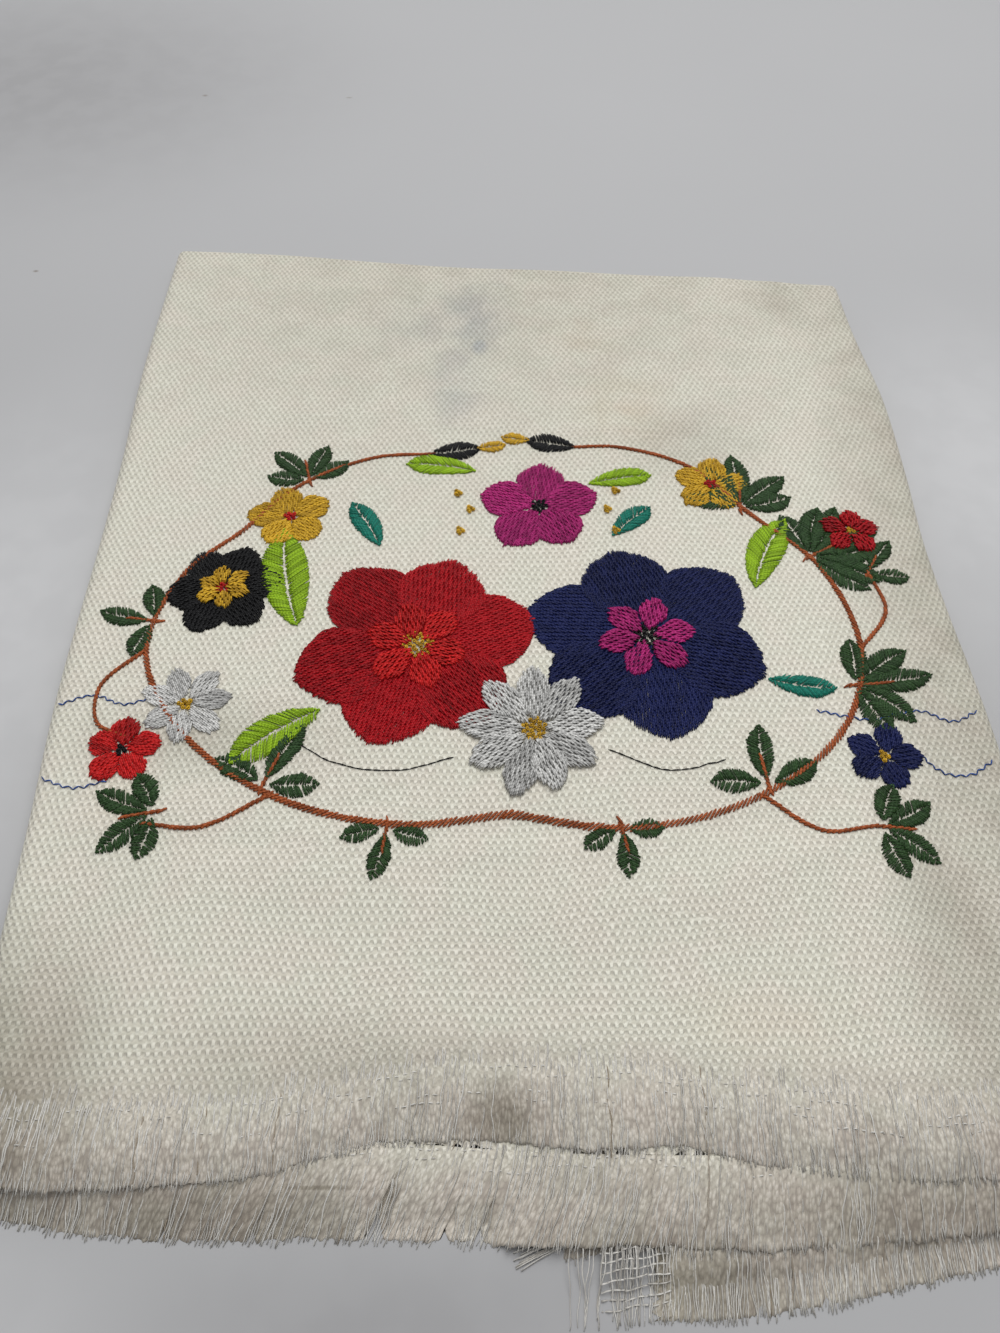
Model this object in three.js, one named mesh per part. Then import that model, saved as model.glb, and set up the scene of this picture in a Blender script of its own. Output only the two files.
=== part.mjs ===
// Embroidered table runner, folded into a flat packet, with ravelled fringe at both ends.
// Millimetres, Z up. The cloth is folded once across its length, so that its lower end lies
// under its upper end, and then both long sides are folded under the packet.
// X runs across the packet and Y runs from the fringed ends to the fold at the back.

import * as THREE from "three";

// Cloth: the thickness of a layer and the space between the two layers of the packet.
const CLOTH_THICKNESS = 1.0;
const LAYER_GAP = 0.6;
const INNER_OFFSET = LAYER_GAP / 2;
const OUTER_OFFSET = INNER_OFFSET + CLOTH_THICKNESS;

// Fringe: the strip that holds the roots, its distance from the cloth's edge, and its locks.
const ROOT_GAP = 0.4;
const ROOT_STRIP = 1.4;
const LOCK_WIDTH = 1.9;
const LOCK_TIP_WIDTH = 1.2;
const LOCK_THICKNESS = 0.8;
const LOCK_UNEVEN_LENGTH = 2.2;
const LOCK_UNEVEN_SLANT = 1.6;

// Steps along the sweep and along each layer.
const PANEL_STEPS = 20;
const TURN_STEPS = 5;
const LEFT_WING_STEPS = 6;
const RIGHT_WING_STEPS = 7;
const LAYER_STEPS = 12;
const BACK_FOLD_STEPS = 5;

// Outermost line of each side fold, and the radius at which the packet turns under there.
const LEFT_FOLD = [
  { y: 20, x: -112.6, radius: 2.3 },
  { y: 45, x: -113.8, radius: 2.4 },
  { y: 78, x: -116.8, radius: 2.6 },
  { y: 108, x: -118.2, radius: 2.7 },
  { y: 149, x: -120.9, radius: 2.7 },
  { y: 204, x: -121.8, radius: 2.6 },
  { y: 240, x: -122.8, radius: 2.6 },
  { y: 280, x: -125.0, radius: 2.5 },
  { y: 352, x: -125.5, radius: 2.2 },
];
const RIGHT_FOLD = [
  { y: 20, x: 131.0, radius: 2.3 },
  { y: 50, x: 131.6, radius: 2.4 },
  { y: 100, x: 131.6, radius: 2.6 },
  { y: 146, x: 131.0, radius: 2.7 },
  { y: 180, x: 129.4, radius: 2.7 },
  { y: 204, x: 129.0, radius: 2.6 },
  { y: 231, x: 130.3, radius: 2.5 },
  { y: 269, x: 130.9, radius: 2.4 },
  { y: 304, x: 128.0, radius: 2.3 },
  { y: 334, x: 127.0, radius: 2.1 },
];

// The fold at the back of the packet, and the cut edges of its upper and lower ends.
const BACK_FOLD = [
  { x: -124, y: 354.5 },
  { x: -100, y: 353.1 },
  { x: -77, y: 351.0 },
  { x: -50, y: 347.4 },
  { x: -30, y: 345.2 },
  { x: -6, y: 343.4 },
  { x: 22, y: 341.7 },
  { x: 45, y: 339.6 },
  { x: 68, y: 337.9 },
  { x: 90, y: 336.6 },
  { x: 102, y: 335.9 },
  { x: 111, y: 333.8 },
  { x: 126, y: 332.3 },
];
const UPPER_EDGE = [
  { x: -112, y: 44.4 },
  { x: -74, y: 44.4 },
  { x: -53, y: 45.8 },
  { x: -32, y: 49.4 },
  { x: -15, y: 53.0 },
  { x: 4, y: 53.5 },
  { x: 30, y: 51.9 },
  { x: 51, y: 49.4 },
  { x: 70, y: 47.8 },
  { x: 86, y: 46.2 },
  { x: 106, y: 47.4 },
  { x: 131, y: 48.5 },
];
const LOWER_EDGE = [
  { x: -112, y: 40.4 },
  { x: -79, y: 38.6 },
  { x: -59, y: 37.6 },
  { x: -24, y: 38.0 },
  { x: 12, y: 36.0 },
  { x: 39, y: 35.4 },
  { x: 75, y: 36.2 },
  { x: 105, y: 37.6 },
  { x: 131, y: 38.8 },
];

// The sides that are folded under, given at their free long edge. They lie a little askew.
const LEFT_WING = { frontX: -20, backX: -36, upperEdgeY: 50.0, lowerEdgeY: 46.0, backFoldY: 344 };
const RIGHT_WING = { frontX: 14, backX: -2, upperEdgeY: 32.0, lowerEdgeY: 22.5, backFoldY: 320 };
const WING_FRONT_Y = 22;
const WING_BACK_Y = 344;

// Y at which the side folds are read for the cut ends and for the back fold.
const CUT_ENDS_Y = 45;
const BACK_CORNERS_Y = 352;

// Soft ridges and troughs of the top panel: centre, half length along the direction `turn`
// (degrees from X), half width across it, and height.
const PANEL_RELIEF = [
  { x: 2, y: 182, turn: 0, length: 105, width: 62, height: 1.3 },
  { x: -4, y: 44, turn: 90, length: 70, width: 20, height: -1.9 },
  { x: 5, y: 30, turn: 0, length: 150, width: 24, height: -0.9 },
  { x: -14, y: 285, turn: 90, length: 60, width: 16, height: -0.7 },
  { x: 113, y: 300, turn: -66, length: 42, width: 8, height: -1.4 },
  { x: 92, y: 300, turn: -66, length: 40, width: 11, height: 0.9 },
  { x: 112, y: 104, turn: 76, length: 46, width: 8, height: -1.5 },
  { x: 90, y: 96, turn: 80, length: 40, width: 12, height: 1.1 },
  { x: -99, y: 68, turn: 80, length: 26, width: 9, height: -1.1 },
  { x: -76, y: 82, turn: 84, length: 34, width: 12, height: 1.0 },
  { x: 42, y: 92, turn: 10, length: 34, width: 10, height: 0.8 },
  { x: -40, y: 96, turn: -8, length: 30, width: 9, height: 0.7 },
  { x: -70, y: 318, turn: 12, length: 42, width: 13, height: 0.8 },
];
const RELIEF_FADE = 14;

// Underside height of the locks at their first bend, their second bend and their tip. The
// upper end's locks are given from the middle of the packet's layers, the others from the floor.
const UPPER_DROOP = [
  { x: -112, first: 0.3, second: 0.3, tip: -0.7 },
  { x: -50, first: 0.3, second: 0.3, tip: -0.5 },
  { x: -32, first: 0.3, second: 0.3, tip: 0.0 },
  { x: -16, first: 0.3, second: 0.3, tip: 0.3 },
  { x: 30, first: 0.3, second: 0.3, tip: 0.3 },
  { x: 52, first: 0.3, second: 0.3, tip: 0.1 },
  { x: 80, first: 0.3, second: 0.3, tip: -0.5 },
  { x: 131, first: 0.3, second: 0.3, tip: -0.6 },
];
const LOWER_DROOP = [
  { x: -112, first: 2.8, second: 1.8, tip: 0.6 },
  { x: -26, first: 2.8, second: 1.8, tip: 0.6 },
  { x: -18, first: 1.7, second: 0.7, tip: 0.2 },
  { x: 3, first: 1.7, second: 0.7, tip: 0.2 },
  { x: 10, first: 3.1, second: 3.0, tip: 3.0 },
  { x: 62, first: 3.1, second: 3.0, tip: 2.8 },
  { x: 100, first: 3.1, second: 2.4, tip: 1.6 },
  { x: 131, first: 3.1, second: 2.2, tip: 1.4 },
];
const WING_DROOP = [
  { x: -131, first: 1.3, second: 0.0, tip: 0.0 },
  { x: 131, first: 1.3, second: 0.0, tip: 0.0 },
];
const FLOOR_DROOP = [
  { x: -131, first: 0.0, second: 0.0, tip: 0.0 },
  { x: 131, first: 0.0, second: 0.0, tip: 0.0 },
];

// The locks of each fringe: how many, how long, how far the tips lean in X, and the parts of
// their length at which they bend.
const FRINGES = {
  upperMiddle: { count: 57, length: 15.4, lean: -0.6, bends: [0.62], droop: UPPER_DROOP },
  lowerMiddle: { count: 57, length: 15.6, lean: -2.4, bends: [0.5, 0.75], droop: LOWER_DROOP },
  upperLeft: { count: 15, length: 12.6, lean: 1.0, bends: [], droop: FLOOR_DROOP },
  lowerLeft: { count: 15, length: 15.0, lean: 1.0, bends: [0.72, 0.88], droop: WING_DROOP },
  upperRight: { count: 20, length: 14.0, lean: -1.2, bends: [], droop: FLOOR_DROOP },
  lowerRight: { count: 28, length: 15.4, lean: -1.6, bends: [0.52, 0.72], droop: WING_DROOP },
};
const FRINGE_END_INSET = 3.2;
const WING_FRINGE_INSET = 6.0;
const GOLDEN_STEP = 0.618034;
const LENGTH_START = 0.1;
const LEAN_START = 0.6;

const clothMaterial = new THREE.MeshStandardMaterial({
  name: "ivory_hopsack",
  color: 0xe6e3d6,
  roughness: 0.62,
  metalness: 0.0,
});
const fringeMaterial = new THREE.MeshStandardMaterial({
  name: "ivory_fringe",
  color: 0xdedbd0,
  roughness: 0.55,
  metalness: 0.0,
});

// A line through the rows of a table, from one named column to another: smooth, or straight
// from row to row.
function lineThrough(table, from, to, Interpolant = THREE.CubicInterpolant) {
  const places = table.map((row) => row[from]);
  const values = table.map((row) => row[to]);
  const line = new Interpolant(places, values, 1, new Float64Array(1));
  return (place) => line.evaluate(place)[0];
}

const leftFoldX = lineThrough(LEFT_FOLD, "y", "x");
const leftFoldRadius = lineThrough(LEFT_FOLD, "y", "radius");
const rightFoldX = lineThrough(RIGHT_FOLD, "y", "x");
const rightFoldRadius = lineThrough(RIGHT_FOLD, "y", "radius");
const rows = {
  upperEdge: lineThrough(UPPER_EDGE, "x", "y"),
  lowerEdge: lineThrough(LOWER_EDGE, "x", "y"),
  backFold: lineThrough(BACK_FOLD, "x", "y"),
};

// Where the flat top of the packet starts and ends at a given Y.
function leftFlatX(y) {
  return leftFoldX(y) + OUTER_OFFSET + leftFoldRadius(y);
}

function rightFlatX(y) {
  return rightFoldX(y) - OUTER_OFFSET - rightFoldRadius(y);
}

// X of the free long edge of a side that is folded under.
function wingFreeX(wing, y) {
  const along = (y - WING_FRONT_Y) / (WING_BACK_Y - WING_FRONT_Y);
  return THREE.MathUtils.lerp(wing.frontX, wing.backX, along);
}

// Height of the middle of the packet's two layers over the top panel.
function panelHeight(x, y) {
  const left = leftFlatX(y);
  const right = rightFlatX(y);
  const across = THREE.MathUtils.clamp((x - left) / (right - left), 0, 1);
  const radius = THREE.MathUtils.lerp(leftFoldRadius(y), rightFoldRadius(y), across);
  const fromLeft = THREE.MathUtils.smoothstep(x, left, left + RELIEF_FADE);
  const fromRight = THREE.MathUtils.smoothstep(right - x, 0, RELIEF_FADE);
  let relief = 0;
  for (const form of PANEL_RELIEF) {
    const turn = THREE.MathUtils.degToRad(form.turn);
    const along = (x - form.x) * Math.cos(turn) + (y - form.y) * Math.sin(turn);
    const beside = (y - form.y) * Math.cos(turn) - (x - form.x) * Math.sin(turn);
    relief += form.height * Math.exp(-((along / form.length) ** 2) - (beside / form.width) ** 2);
  }
  return OUTER_OFFSET + 2 * radius + relief * fromLeft * fromRight;
}

// The stations of the sweep, from the left free edge, round the top, to the right free edge.
function sweepStations() {
  const stations = [];
  for (let step = 0; step < LEFT_WING_STEPS; step += 1) {
    stations.push({ zone: "leftWing", outward: 1 - step / LEFT_WING_STEPS });
  }
  for (let step = 0; step <= TURN_STEPS; step += 1) {
    stations.push({ zone: "leftTurn", angle: -Math.PI / 2 - (Math.PI * step) / TURN_STEPS });
  }
  for (let step = 1; step < PANEL_STEPS; step += 1) {
    stations.push({ zone: "panel", across: step / PANEL_STEPS });
  }
  for (let step = 0; step <= TURN_STEPS; step += 1) {
    stations.push({ zone: "rightTurn", angle: Math.PI / 2 - (Math.PI * step) / TURN_STEPS });
  }
  for (let step = 1; step <= RIGHT_WING_STEPS; step += 1) {
    stations.push({ zone: "rightWing", outward: step / RIGHT_WING_STEPS });
  }
  return stations;
}

// Y of a named row of the cloth (an end's edge or the back fold) at a station.
function rowY(station, row) {
  const nearY = row === "backFold" ? BACK_CORNERS_Y : CUT_ENDS_Y;
  const left = leftFlatX(nearY);
  const right = rightFlatX(nearY);
  const line = rows[row];
  if (station.zone === "leftTurn") {
    return line(left);
  }
  if (station.zone === "rightTurn") {
    return line(right);
  }
  if (station.zone === "leftWing") {
    return THREE.MathUtils.lerp(line(left), LEFT_WING[row + "Y"], station.outward);
  }
  if (station.zone === "rightWing") {
    return THREE.MathUtils.lerp(line(right), RIGHT_WING[row + "Y"], station.outward);
  }
  return line(THREE.MathUtils.lerp(left, right, station.across));
}

// A point of the cloth at a station, at a given Y, `offset` outward from the packet's middle.
function clothPoint(station, y, offset) {
  if (station.zone === "leftWing") {
    const x = THREE.MathUtils.lerp(leftFlatX(y), wingFreeX(LEFT_WING, y), station.outward);
    return new THREE.Vector3(x, y, OUTER_OFFSET - offset);
  }
  if (station.zone === "rightWing") {
    const x = THREE.MathUtils.lerp(rightFlatX(y), wingFreeX(RIGHT_WING, y), station.outward);
    return new THREE.Vector3(x, y, OUTER_OFFSET - offset);
  }
  if (station.zone === "panel") {
    const x = THREE.MathUtils.lerp(leftFlatX(y), rightFlatX(y), station.across);
    return new THREE.Vector3(x, y, panelHeight(x, y) + offset);
  }
  const isLeft = station.zone === "leftTurn";
  const radius = isLeft ? leftFoldRadius(y) : rightFoldRadius(y);
  const centreX = isLeft ? leftFlatX(y) : rightFlatX(y);
  const reach = radius + offset;
  const x = centreX + reach * Math.cos(station.angle);
  const z = OUTER_OFFSET + radius + reach * Math.sin(station.angle);
  return new THREE.Vector3(x, y, z);
}

// One face of the folded cloth at a station: along the upper layer, round the back fold and
// back along the lower layer, at `offset` from the middle of the two layers.
function facePoints(station, offset) {
  const points = [];
  const foldY = rowY(station, "backFold") - OUTER_OFFSET;
  const upperY = rowY(station, "upperEdge");
  const lowerY = rowY(station, "lowerEdge");
  for (let step = 0; step < LAYER_STEPS; step += 1) {
    const y = THREE.MathUtils.lerp(upperY, foldY, step / LAYER_STEPS);
    points.push(clothPoint(station, y, offset));
  }
  for (let step = 0; step <= BACK_FOLD_STEPS; step += 1) {
    const angle = Math.PI / 2 - (Math.PI * step) / BACK_FOLD_STEPS;
    const y = foldY + offset * Math.cos(angle);
    points.push(clothPoint(station, y, offset * Math.sin(angle)));
  }
  for (let step = 1; step <= LAYER_STEPS; step += 1) {
    const y = THREE.MathUtils.lerp(foldY, lowerY, step / LAYER_STEPS);
    points.push(clothPoint(station, y, -offset));
  }
  return points;
}

// Collects shared points and four-sided faces into one closed geometry.
class SolidBuilder {
  constructor() {
    this.positions = [];
    this.indices = [];
  }

  point(vector) {
    this.positions.push(vector.x, vector.y, vector.z);
    return this.positions.length / 3 - 1;
  }

  face(a, b, c, d) {
    this.indices.push(a, b, c, a, c, d);
  }

  geometry() {
    const geometry = new THREE.BufferGeometry();
    geometry.setAttribute("position", new THREE.Float32BufferAttribute(this.positions, 3));
    geometry.setIndex(this.indices);
    geometry.computeVertexNormals();
    return geometry;
  }
}

// The cloth: the folded section swept from one free long edge to the other.
function foldedClothGeometry() {
  const solid = new SolidBuilder();
  const sections = [];
  for (const station of sweepStations()) {
    const outer = facePoints(station, OUTER_OFFSET).map((point) => solid.point(point));
    const inner = facePoints(station, INNER_OFFSET).map((point) => solid.point(point));
    sections.push({ outer, inner });
  }
  const last = sections[0].outer.length - 1;
  for (let index = 1; index < sections.length; index += 1) {
    const before = sections[index - 1];
    const after = sections[index];
    for (let step = 0; step < last; step += 1) {
      solid.face(before.outer[step], after.outer[step], after.outer[step + 1], before.outer[step + 1]);
      solid.face(before.inner[step], before.inner[step + 1], after.inner[step + 1], after.inner[step]);
    }
    solid.face(before.outer[0], before.inner[0], after.inner[0], after.outer[0]);
    solid.face(before.outer[last], after.outer[last], after.inner[last], before.inner[last]);
  }
  const first = sections[0];
  const final = sections.at(-1);
  for (let step = 0; step < last; step += 1) {
    solid.face(first.outer[step], first.outer[step + 1], first.inner[step + 1], first.inner[step]);
    solid.face(final.outer[step], final.inner[step], final.inner[step + 1], final.outer[step + 1]);
  }
  return solid.geometry();
}

// An even spread of small differences from -0.5 to 0.5, the same on every run.
function uneven(index, start) {
  return ((index * GOLDEN_STEP + start) % 1) - 0.5;
}

// Four corners of the root strip at one X, behind and in front, below and above.
function stripColumn(solid, x, edgeY, underside) {
  const backY = edgeY(x) - ROOT_GAP;
  const frontY = backY - ROOT_STRIP;
  const low = underside(x);
  const high = low + CLOTH_THICKNESS;
  return {
    backLow: solid.point(new THREE.Vector3(x, backY, low)),
    backHigh: solid.point(new THREE.Vector3(x, backY, high)),
    frontLow: solid.point(new THREE.Vector3(x, frontY, low)),
    frontHigh: solid.point(new THREE.Vector3(x, frontY, high)),
    frontY,
  };
}

// A ring of one lock: left low, right low, right high, left high.
function lockRing(solid, x, y, low, width) {
  const high = low + LOCK_THICKNESS;
  return [
    solid.point(new THREE.Vector3(x - width / 2, y, low)),
    solid.point(new THREE.Vector3(x + width / 2, y, low)),
    solid.point(new THREE.Vector3(x + width / 2, y, high)),
    solid.point(new THREE.Vector3(x - width / 2, y, high)),
  ];
}

// A comb of fringe: a strip along the cloth's edge with locks that stand apart in front of it.
function fringeGeometry(fringe, startX, endX, edgeY, underside, support) {
  const solid = new SolidBuilder();
  const bendHeights = [
    lineThrough(fringe.droop, "x", "first", THREE.LinearInterpolant),
    lineThrough(fringe.droop, "x", "second", THREE.LinearInterpolant),
  ];
  const tipHeight = lineThrough(fringe.droop, "x", "tip", THREE.LinearInterpolant);
  const pitch = (endX - startX - LOCK_WIDTH) / (fringe.count - 1);
  let before = null;
  for (let index = 0; index < fringe.count; index += 1) {
    const rootX = startX + LOCK_WIDTH / 2 + pitch * index;
    const left = stripColumn(solid, rootX - LOCK_WIDTH / 2, edgeY, underside);
    const right = stripColumn(solid, rootX + LOCK_WIDTH / 2, edgeY, underside);
    if (before === null) {
      solid.face(left.backLow, left.frontLow, left.frontHigh, left.backHigh);
    } else {
      stripFaces(solid, before, left);
      solid.face(before.frontLow, left.frontLow, left.frontHigh, before.frontHigh);
    }
    stripFaces(solid, left, right);

    const length = fringe.length + LOCK_UNEVEN_LENGTH * uneven(index, LENGTH_START);
    const lean = fringe.lean + LOCK_UNEVEN_SLANT * uneven(index, LEAN_START);
    const rootY = (left.frontY + right.frontY) / 2;
    let ring = [left.frontLow, right.frontLow, right.frontHigh, left.frontHigh];
    fringe.bends.forEach((part, bend) => {
      const width = THREE.MathUtils.lerp(LOCK_WIDTH, LOCK_TIP_WIDTH, part);
      const y = rootY - length * part;
      const low = support(rootX, y) + bendHeights[bend](rootX);
      const next = lockRing(solid, rootX + lean * part, y, low, width);
      lockFaces(solid, ring, next);
      ring = next;
    });
    const tipY = rootY - length;
    const tipLow = support(rootX, tipY) + tipHeight(rootX);
    const tip = lockRing(solid, rootX + lean, tipY, tipLow, LOCK_TIP_WIDTH);
    lockFaces(solid, ring, tip);
    solid.face(tip[0], tip[1], tip[2], tip[3]);
    before = right;
  }
  solid.face(before.frontLow, before.backLow, before.backHigh, before.frontHigh);
  return solid.geometry();
}

// Top, underside and back of the root strip between two columns.
function stripFaces(solid, left, right) {
  solid.face(left.frontHigh, right.frontHigh, right.backHigh, left.backHigh);
  solid.face(left.backLow, right.backLow, right.frontLow, left.frontLow);
  solid.face(right.backLow, left.backLow, left.backHigh, right.backHigh);
}

// The four sides of a lock between two rings.
function lockFaces(solid, root, tip) {
  solid.face(tip[3], tip[2], root[2], root[3]);
  solid.face(root[0], root[1], tip[1], tip[0]);
  solid.face(root[0], tip[0], tip[3], root[3]);
  solid.face(tip[1], root[1], root[2], tip[2]);
}

// The edge of one layer of a side that is folded under, as Y over X.
function wingEdge(row, isLeft) {
  const wing = isLeft ? LEFT_WING : RIGHT_WING;
  const flatX = isLeft ? leftFlatX(CUT_ENDS_Y) : rightFlatX(CUT_ENDS_Y);
  const foldY = rows[row](flatX);
  return (x) => THREE.MathUtils.mapLinear(x, flatX, wing.frontX, foldY, wing[row + "Y"]);
}

// The fringe of the top panel's edge, of the upper or the lower layer.
function middleFringe(fringe, row, offset, support) {
  const startX = leftFoldX(CUT_ENDS_Y) + FRINGE_END_INSET;
  const endX = rightFoldX(CUT_ENDS_Y) - FRINGE_END_INSET;
  const edgeY = rows[row];
  const underside = (x) => panelHeight(x, edgeY(x)) + offset;
  return fringeGeometry(fringe, startX, endX, edgeY, underside, support);
}

// The fringe of a side that is folded under, of the upper or the lower layer.
function wingFringe(fringe, row, isLeft, low) {
  const edgeY = wingEdge(row, isLeft);
  const startX = isLeft ? leftFlatX(CUT_ENDS_Y) + WING_FRINGE_INSET : RIGHT_WING.frontX;
  const endX = isLeft ? LEFT_WING.frontX : rightFlatX(CUT_ENDS_Y) - WING_FRINGE_INSET;
  return fringeGeometry(fringe, startX, endX, edgeY, () => low, onFloor);
}

// Support height for locks whose table is given from the floor.
function onFloor() {
  return 0;
}

// A named piece of the part.
function piece(name, geometry, material) {
  const mesh = new THREE.Mesh(geometry, material);
  mesh.name = name;
  return mesh;
}

// Underside of the two layers of the sides that are folded under.
const upperWingLow = 0;
const lowerWingLow = OUTER_OFFSET + INNER_OFFSET;

const runner = new THREE.Group();
runner.add(piece("runner_cloth", foldedClothGeometry(), clothMaterial));

const combs = {
  fringe_upper_middle: middleFringe(FRINGES.upperMiddle, "upperEdge", INNER_OFFSET, panelHeight),
  fringe_lower_middle: middleFringe(FRINGES.lowerMiddle, "lowerEdge", -OUTER_OFFSET, onFloor),
  fringe_upper_left: wingFringe(FRINGES.upperLeft, "upperEdge", true, upperWingLow),
  fringe_lower_left: wingFringe(FRINGES.lowerLeft, "lowerEdge", true, lowerWingLow),
  fringe_upper_right: wingFringe(FRINGES.upperRight, "upperEdge", false, upperWingLow),
  fringe_lower_right: wingFringe(FRINGES.lowerRight, "lowerEdge", false, lowerWingLow),
};
for (const [name, geometry] of Object.entries(combs)) {
  runner.add(piece(name, geometry, fringeMaterial.clone()));
}

// The origin lies under the middle of the whole packet, on the surface that it rests on.
const extent = new THREE.Box3().setFromObject(runner);
const middle = extent.getCenter(new THREE.Vector3());
runner.position.set(-middle.x, -middle.y, 0);
runner.updateMatrixWorld(true);

export default runner;
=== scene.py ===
import math
from math import cos, pi, radians, sin
from types import SimpleNamespace

import bpy
import numpy as np
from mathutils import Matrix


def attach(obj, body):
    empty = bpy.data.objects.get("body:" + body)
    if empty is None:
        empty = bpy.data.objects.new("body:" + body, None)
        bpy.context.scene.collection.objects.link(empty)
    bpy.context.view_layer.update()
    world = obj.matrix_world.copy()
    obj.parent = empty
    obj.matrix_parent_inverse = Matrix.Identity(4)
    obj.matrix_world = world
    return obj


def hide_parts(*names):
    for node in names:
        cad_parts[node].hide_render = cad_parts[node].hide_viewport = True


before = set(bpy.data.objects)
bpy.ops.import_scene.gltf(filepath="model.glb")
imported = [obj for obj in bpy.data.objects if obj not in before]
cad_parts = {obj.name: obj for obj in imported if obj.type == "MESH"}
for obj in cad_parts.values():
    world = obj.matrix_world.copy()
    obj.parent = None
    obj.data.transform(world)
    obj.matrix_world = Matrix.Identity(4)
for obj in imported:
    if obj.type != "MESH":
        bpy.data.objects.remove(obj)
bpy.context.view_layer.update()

# Embroidered table runner of ivory hopsack, folded into a flat packet with ravelled fringes.
# Every length is in millimetres and every place is in the packet's own coordinates: X across
# it, Y from the fringed ends to the back fold, Z up from the surface that it lies on.
# mesh_piece() alone turns them into the frame's metres.
MM = 0.001
FRAME_ORIGIN = np.array([3.095, 179.917, 0.0])
random = np.random.default_rng(41)
uniform = random.uniform
normal = random.normal

# The packet, as in the part's source: layers, side folds, back fold, cut edges and free edges.
# Side folds give Y, X and radius, the other edges X and Y.
CLOTH_THICKNESS = 1.0
INNER_OFFSET = 0.3
OUTER_OFFSET = INNER_OFFSET + CLOTH_THICKNESS
LEFT_FOLD = (
    (20, -112.6, 2.3), (45, -113.8, 2.4), (78, -116.8, 2.6), (108, -118.2, 2.7),
    (149, -120.9, 2.7), (204, -121.8, 2.6), (240, -122.8, 2.6), (280, -125.0, 2.5),
    (352, -125.5, 2.2),
)
RIGHT_FOLD = (
    (20, 131.0, 2.3), (50, 131.6, 2.4), (100, 131.6, 2.6), (146, 131.0, 2.7), (180, 129.4, 2.7),
    (204, 129.0, 2.6), (231, 130.3, 2.5), (269, 130.9, 2.4), (304, 128.0, 2.3), (334, 127.0, 2.1),
)
BACK_FOLD = (
    (-124, 354.5), (-100, 353.1), (-77, 351.0), (-50, 347.4), (-30, 345.2), (-6, 343.4),
    (22, 341.7), (45, 339.6), (68, 337.9), (90, 336.6), (102, 335.9), (111, 333.8), (126, 332.3),
)
UPPER_EDGE = (
    (-112, 44.4), (-74, 44.4), (-53, 45.8), (-32, 49.4), (-15, 53.0), (4, 53.5), (30, 51.9),
    (51, 49.4), (70, 47.8), (86, 46.2), (106, 47.4), (131, 48.5),
)
LOWER_EDGE = (
    (-112, 40.4), (-79, 38.6), (-59, 37.6), (-24, 38.0), (12, 36.0), (39, 35.4), (75, 36.2),
    (105, 37.6), (131, 38.8),
)
LEFT_WING = {"frontX": -20, "backX": -36, "upper": 50.0, "lower": 46.0, "fold": 344}
RIGHT_WING = {"frontX": 14, "backX": -2, "upper": 32.0, "lower": 22.5, "fold": 320}
WING_FRONT_Y = 22
WING_BACK_Y = 344
CUT_ENDS_Y = 45
BACK_CORNERS_Y = 352

# Soft ridges and troughs, then small puckers that the stitching draws into the cloth: middle in
# X and Y, turn, length, width and height.
PANEL_RELIEF = (
    (2, 182, 0, 105, 62, 1.3), (-4, 44, 90, 70, 20, -1.9), (5, 30, 0, 150, 24, -0.9),
    (-14, 285, 90, 60, 16, -0.7), (113, 300, -66, 42, 8, -1.4), (92, 300, -66, 40, 11, 0.9),
    (112, 104, 76, 46, 8, -1.5), (90, 96, 80, 40, 12, 1.1), (-99, 68, 80, 26, 9, -1.1),
    (-76, 82, 84, 34, 12, 1.0), (42, 92, 10, 34, 10, 0.8), (-40, 96, -8, 30, 9, 0.7),
    (-70, 318, 12, 42, 13, 0.8),
)
PUCKERS = (
    (-88, 112, 12, 15, 4.0, 0.50), (-66, 104, 4, 18, 3.6, -0.45), (-44, 106, -8, 14, 3.2, 0.45),
    (-30, 116, 20, 10, 2.8, -0.40), (-8, 102, 3, 16, 3.4, 0.45), (14, 108, -4, 13, 3.0, -0.45),
    (34, 104, 6, 15, 3.4, 0.50), (58, 108, 14, 12, 3.0, -0.40), (76, 102, 20, 16, 3.6, 0.45),
    (100, 122, 62, 14, 3.2, -0.45), (106, 148, 80, 16, 3.4, 0.45), (108, 182, 96, 14, 3.2, -0.40),
    (98, 224, 130, 15, 3.4, 0.40), (66, 246, 168, 17, 3.6, -0.45), (30, 252, 4, 15, 3.4, 0.45),
    (-10, 250, -6, 16, 3.4, -0.40), (-46, 246, 12, 15, 3.4, 0.45), (-86, 232, 40, 15, 3.4, -0.40),
    (-107, 200, 78, 16, 3.4, 0.45), (-110, 168, 95, 14, 3.2, -0.45),
    (-104, 138, 110, 13, 3.2, 0.40), (-56, 200, 60, 10, 3.0, 0.35), (66, 196, -70, 11, 3.0, 0.35),
    (-2, 186, 86, 12, 3.0, -0.30),
)
RELIEF_FADE = 14

# The weave: width of a float with its gap, height of a row, and how far the rows are turned.
WEAVE_ACROSS = 1.86
WEAVE_ROW = 1.64
WEAVE_TURN = -1.5

# Camera: height over the surface that the packet lies on, its angle and its lens.
CAMERA_HEIGHT = 233.4
CAMERA_DOWN_ANGLE = 55.2
CAMERA_LENS = 27.0
CAMERA_SENSOR = 36.0

# The lamp, in metres, and the strength of the room's light near the camera and behind the packet.
LAMP_PLACE = (0.12, 0.42, 0.95)
LAMP_SIZE = 1.0
LAMP_POWER = 6.6
ROOM_NEAR = 0.22
ROOM_FAR = 0.52
ROOM_COLOUR = (0.97, 0.98, 1.0, 1.0)


def smoothstep(value, low, high):
    part = np.clip((value - low) / (high - low), 0.0, 1.0)
    return part * part * (3.0 - 2.0 * part)


def mix(low, high, part):
    return low + (high - low) * part


def joined(*numbers):
    """Places or corners from their separate numbers."""
    return np.stack(np.broadcast_arrays(*numbers), axis=-1)


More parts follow.
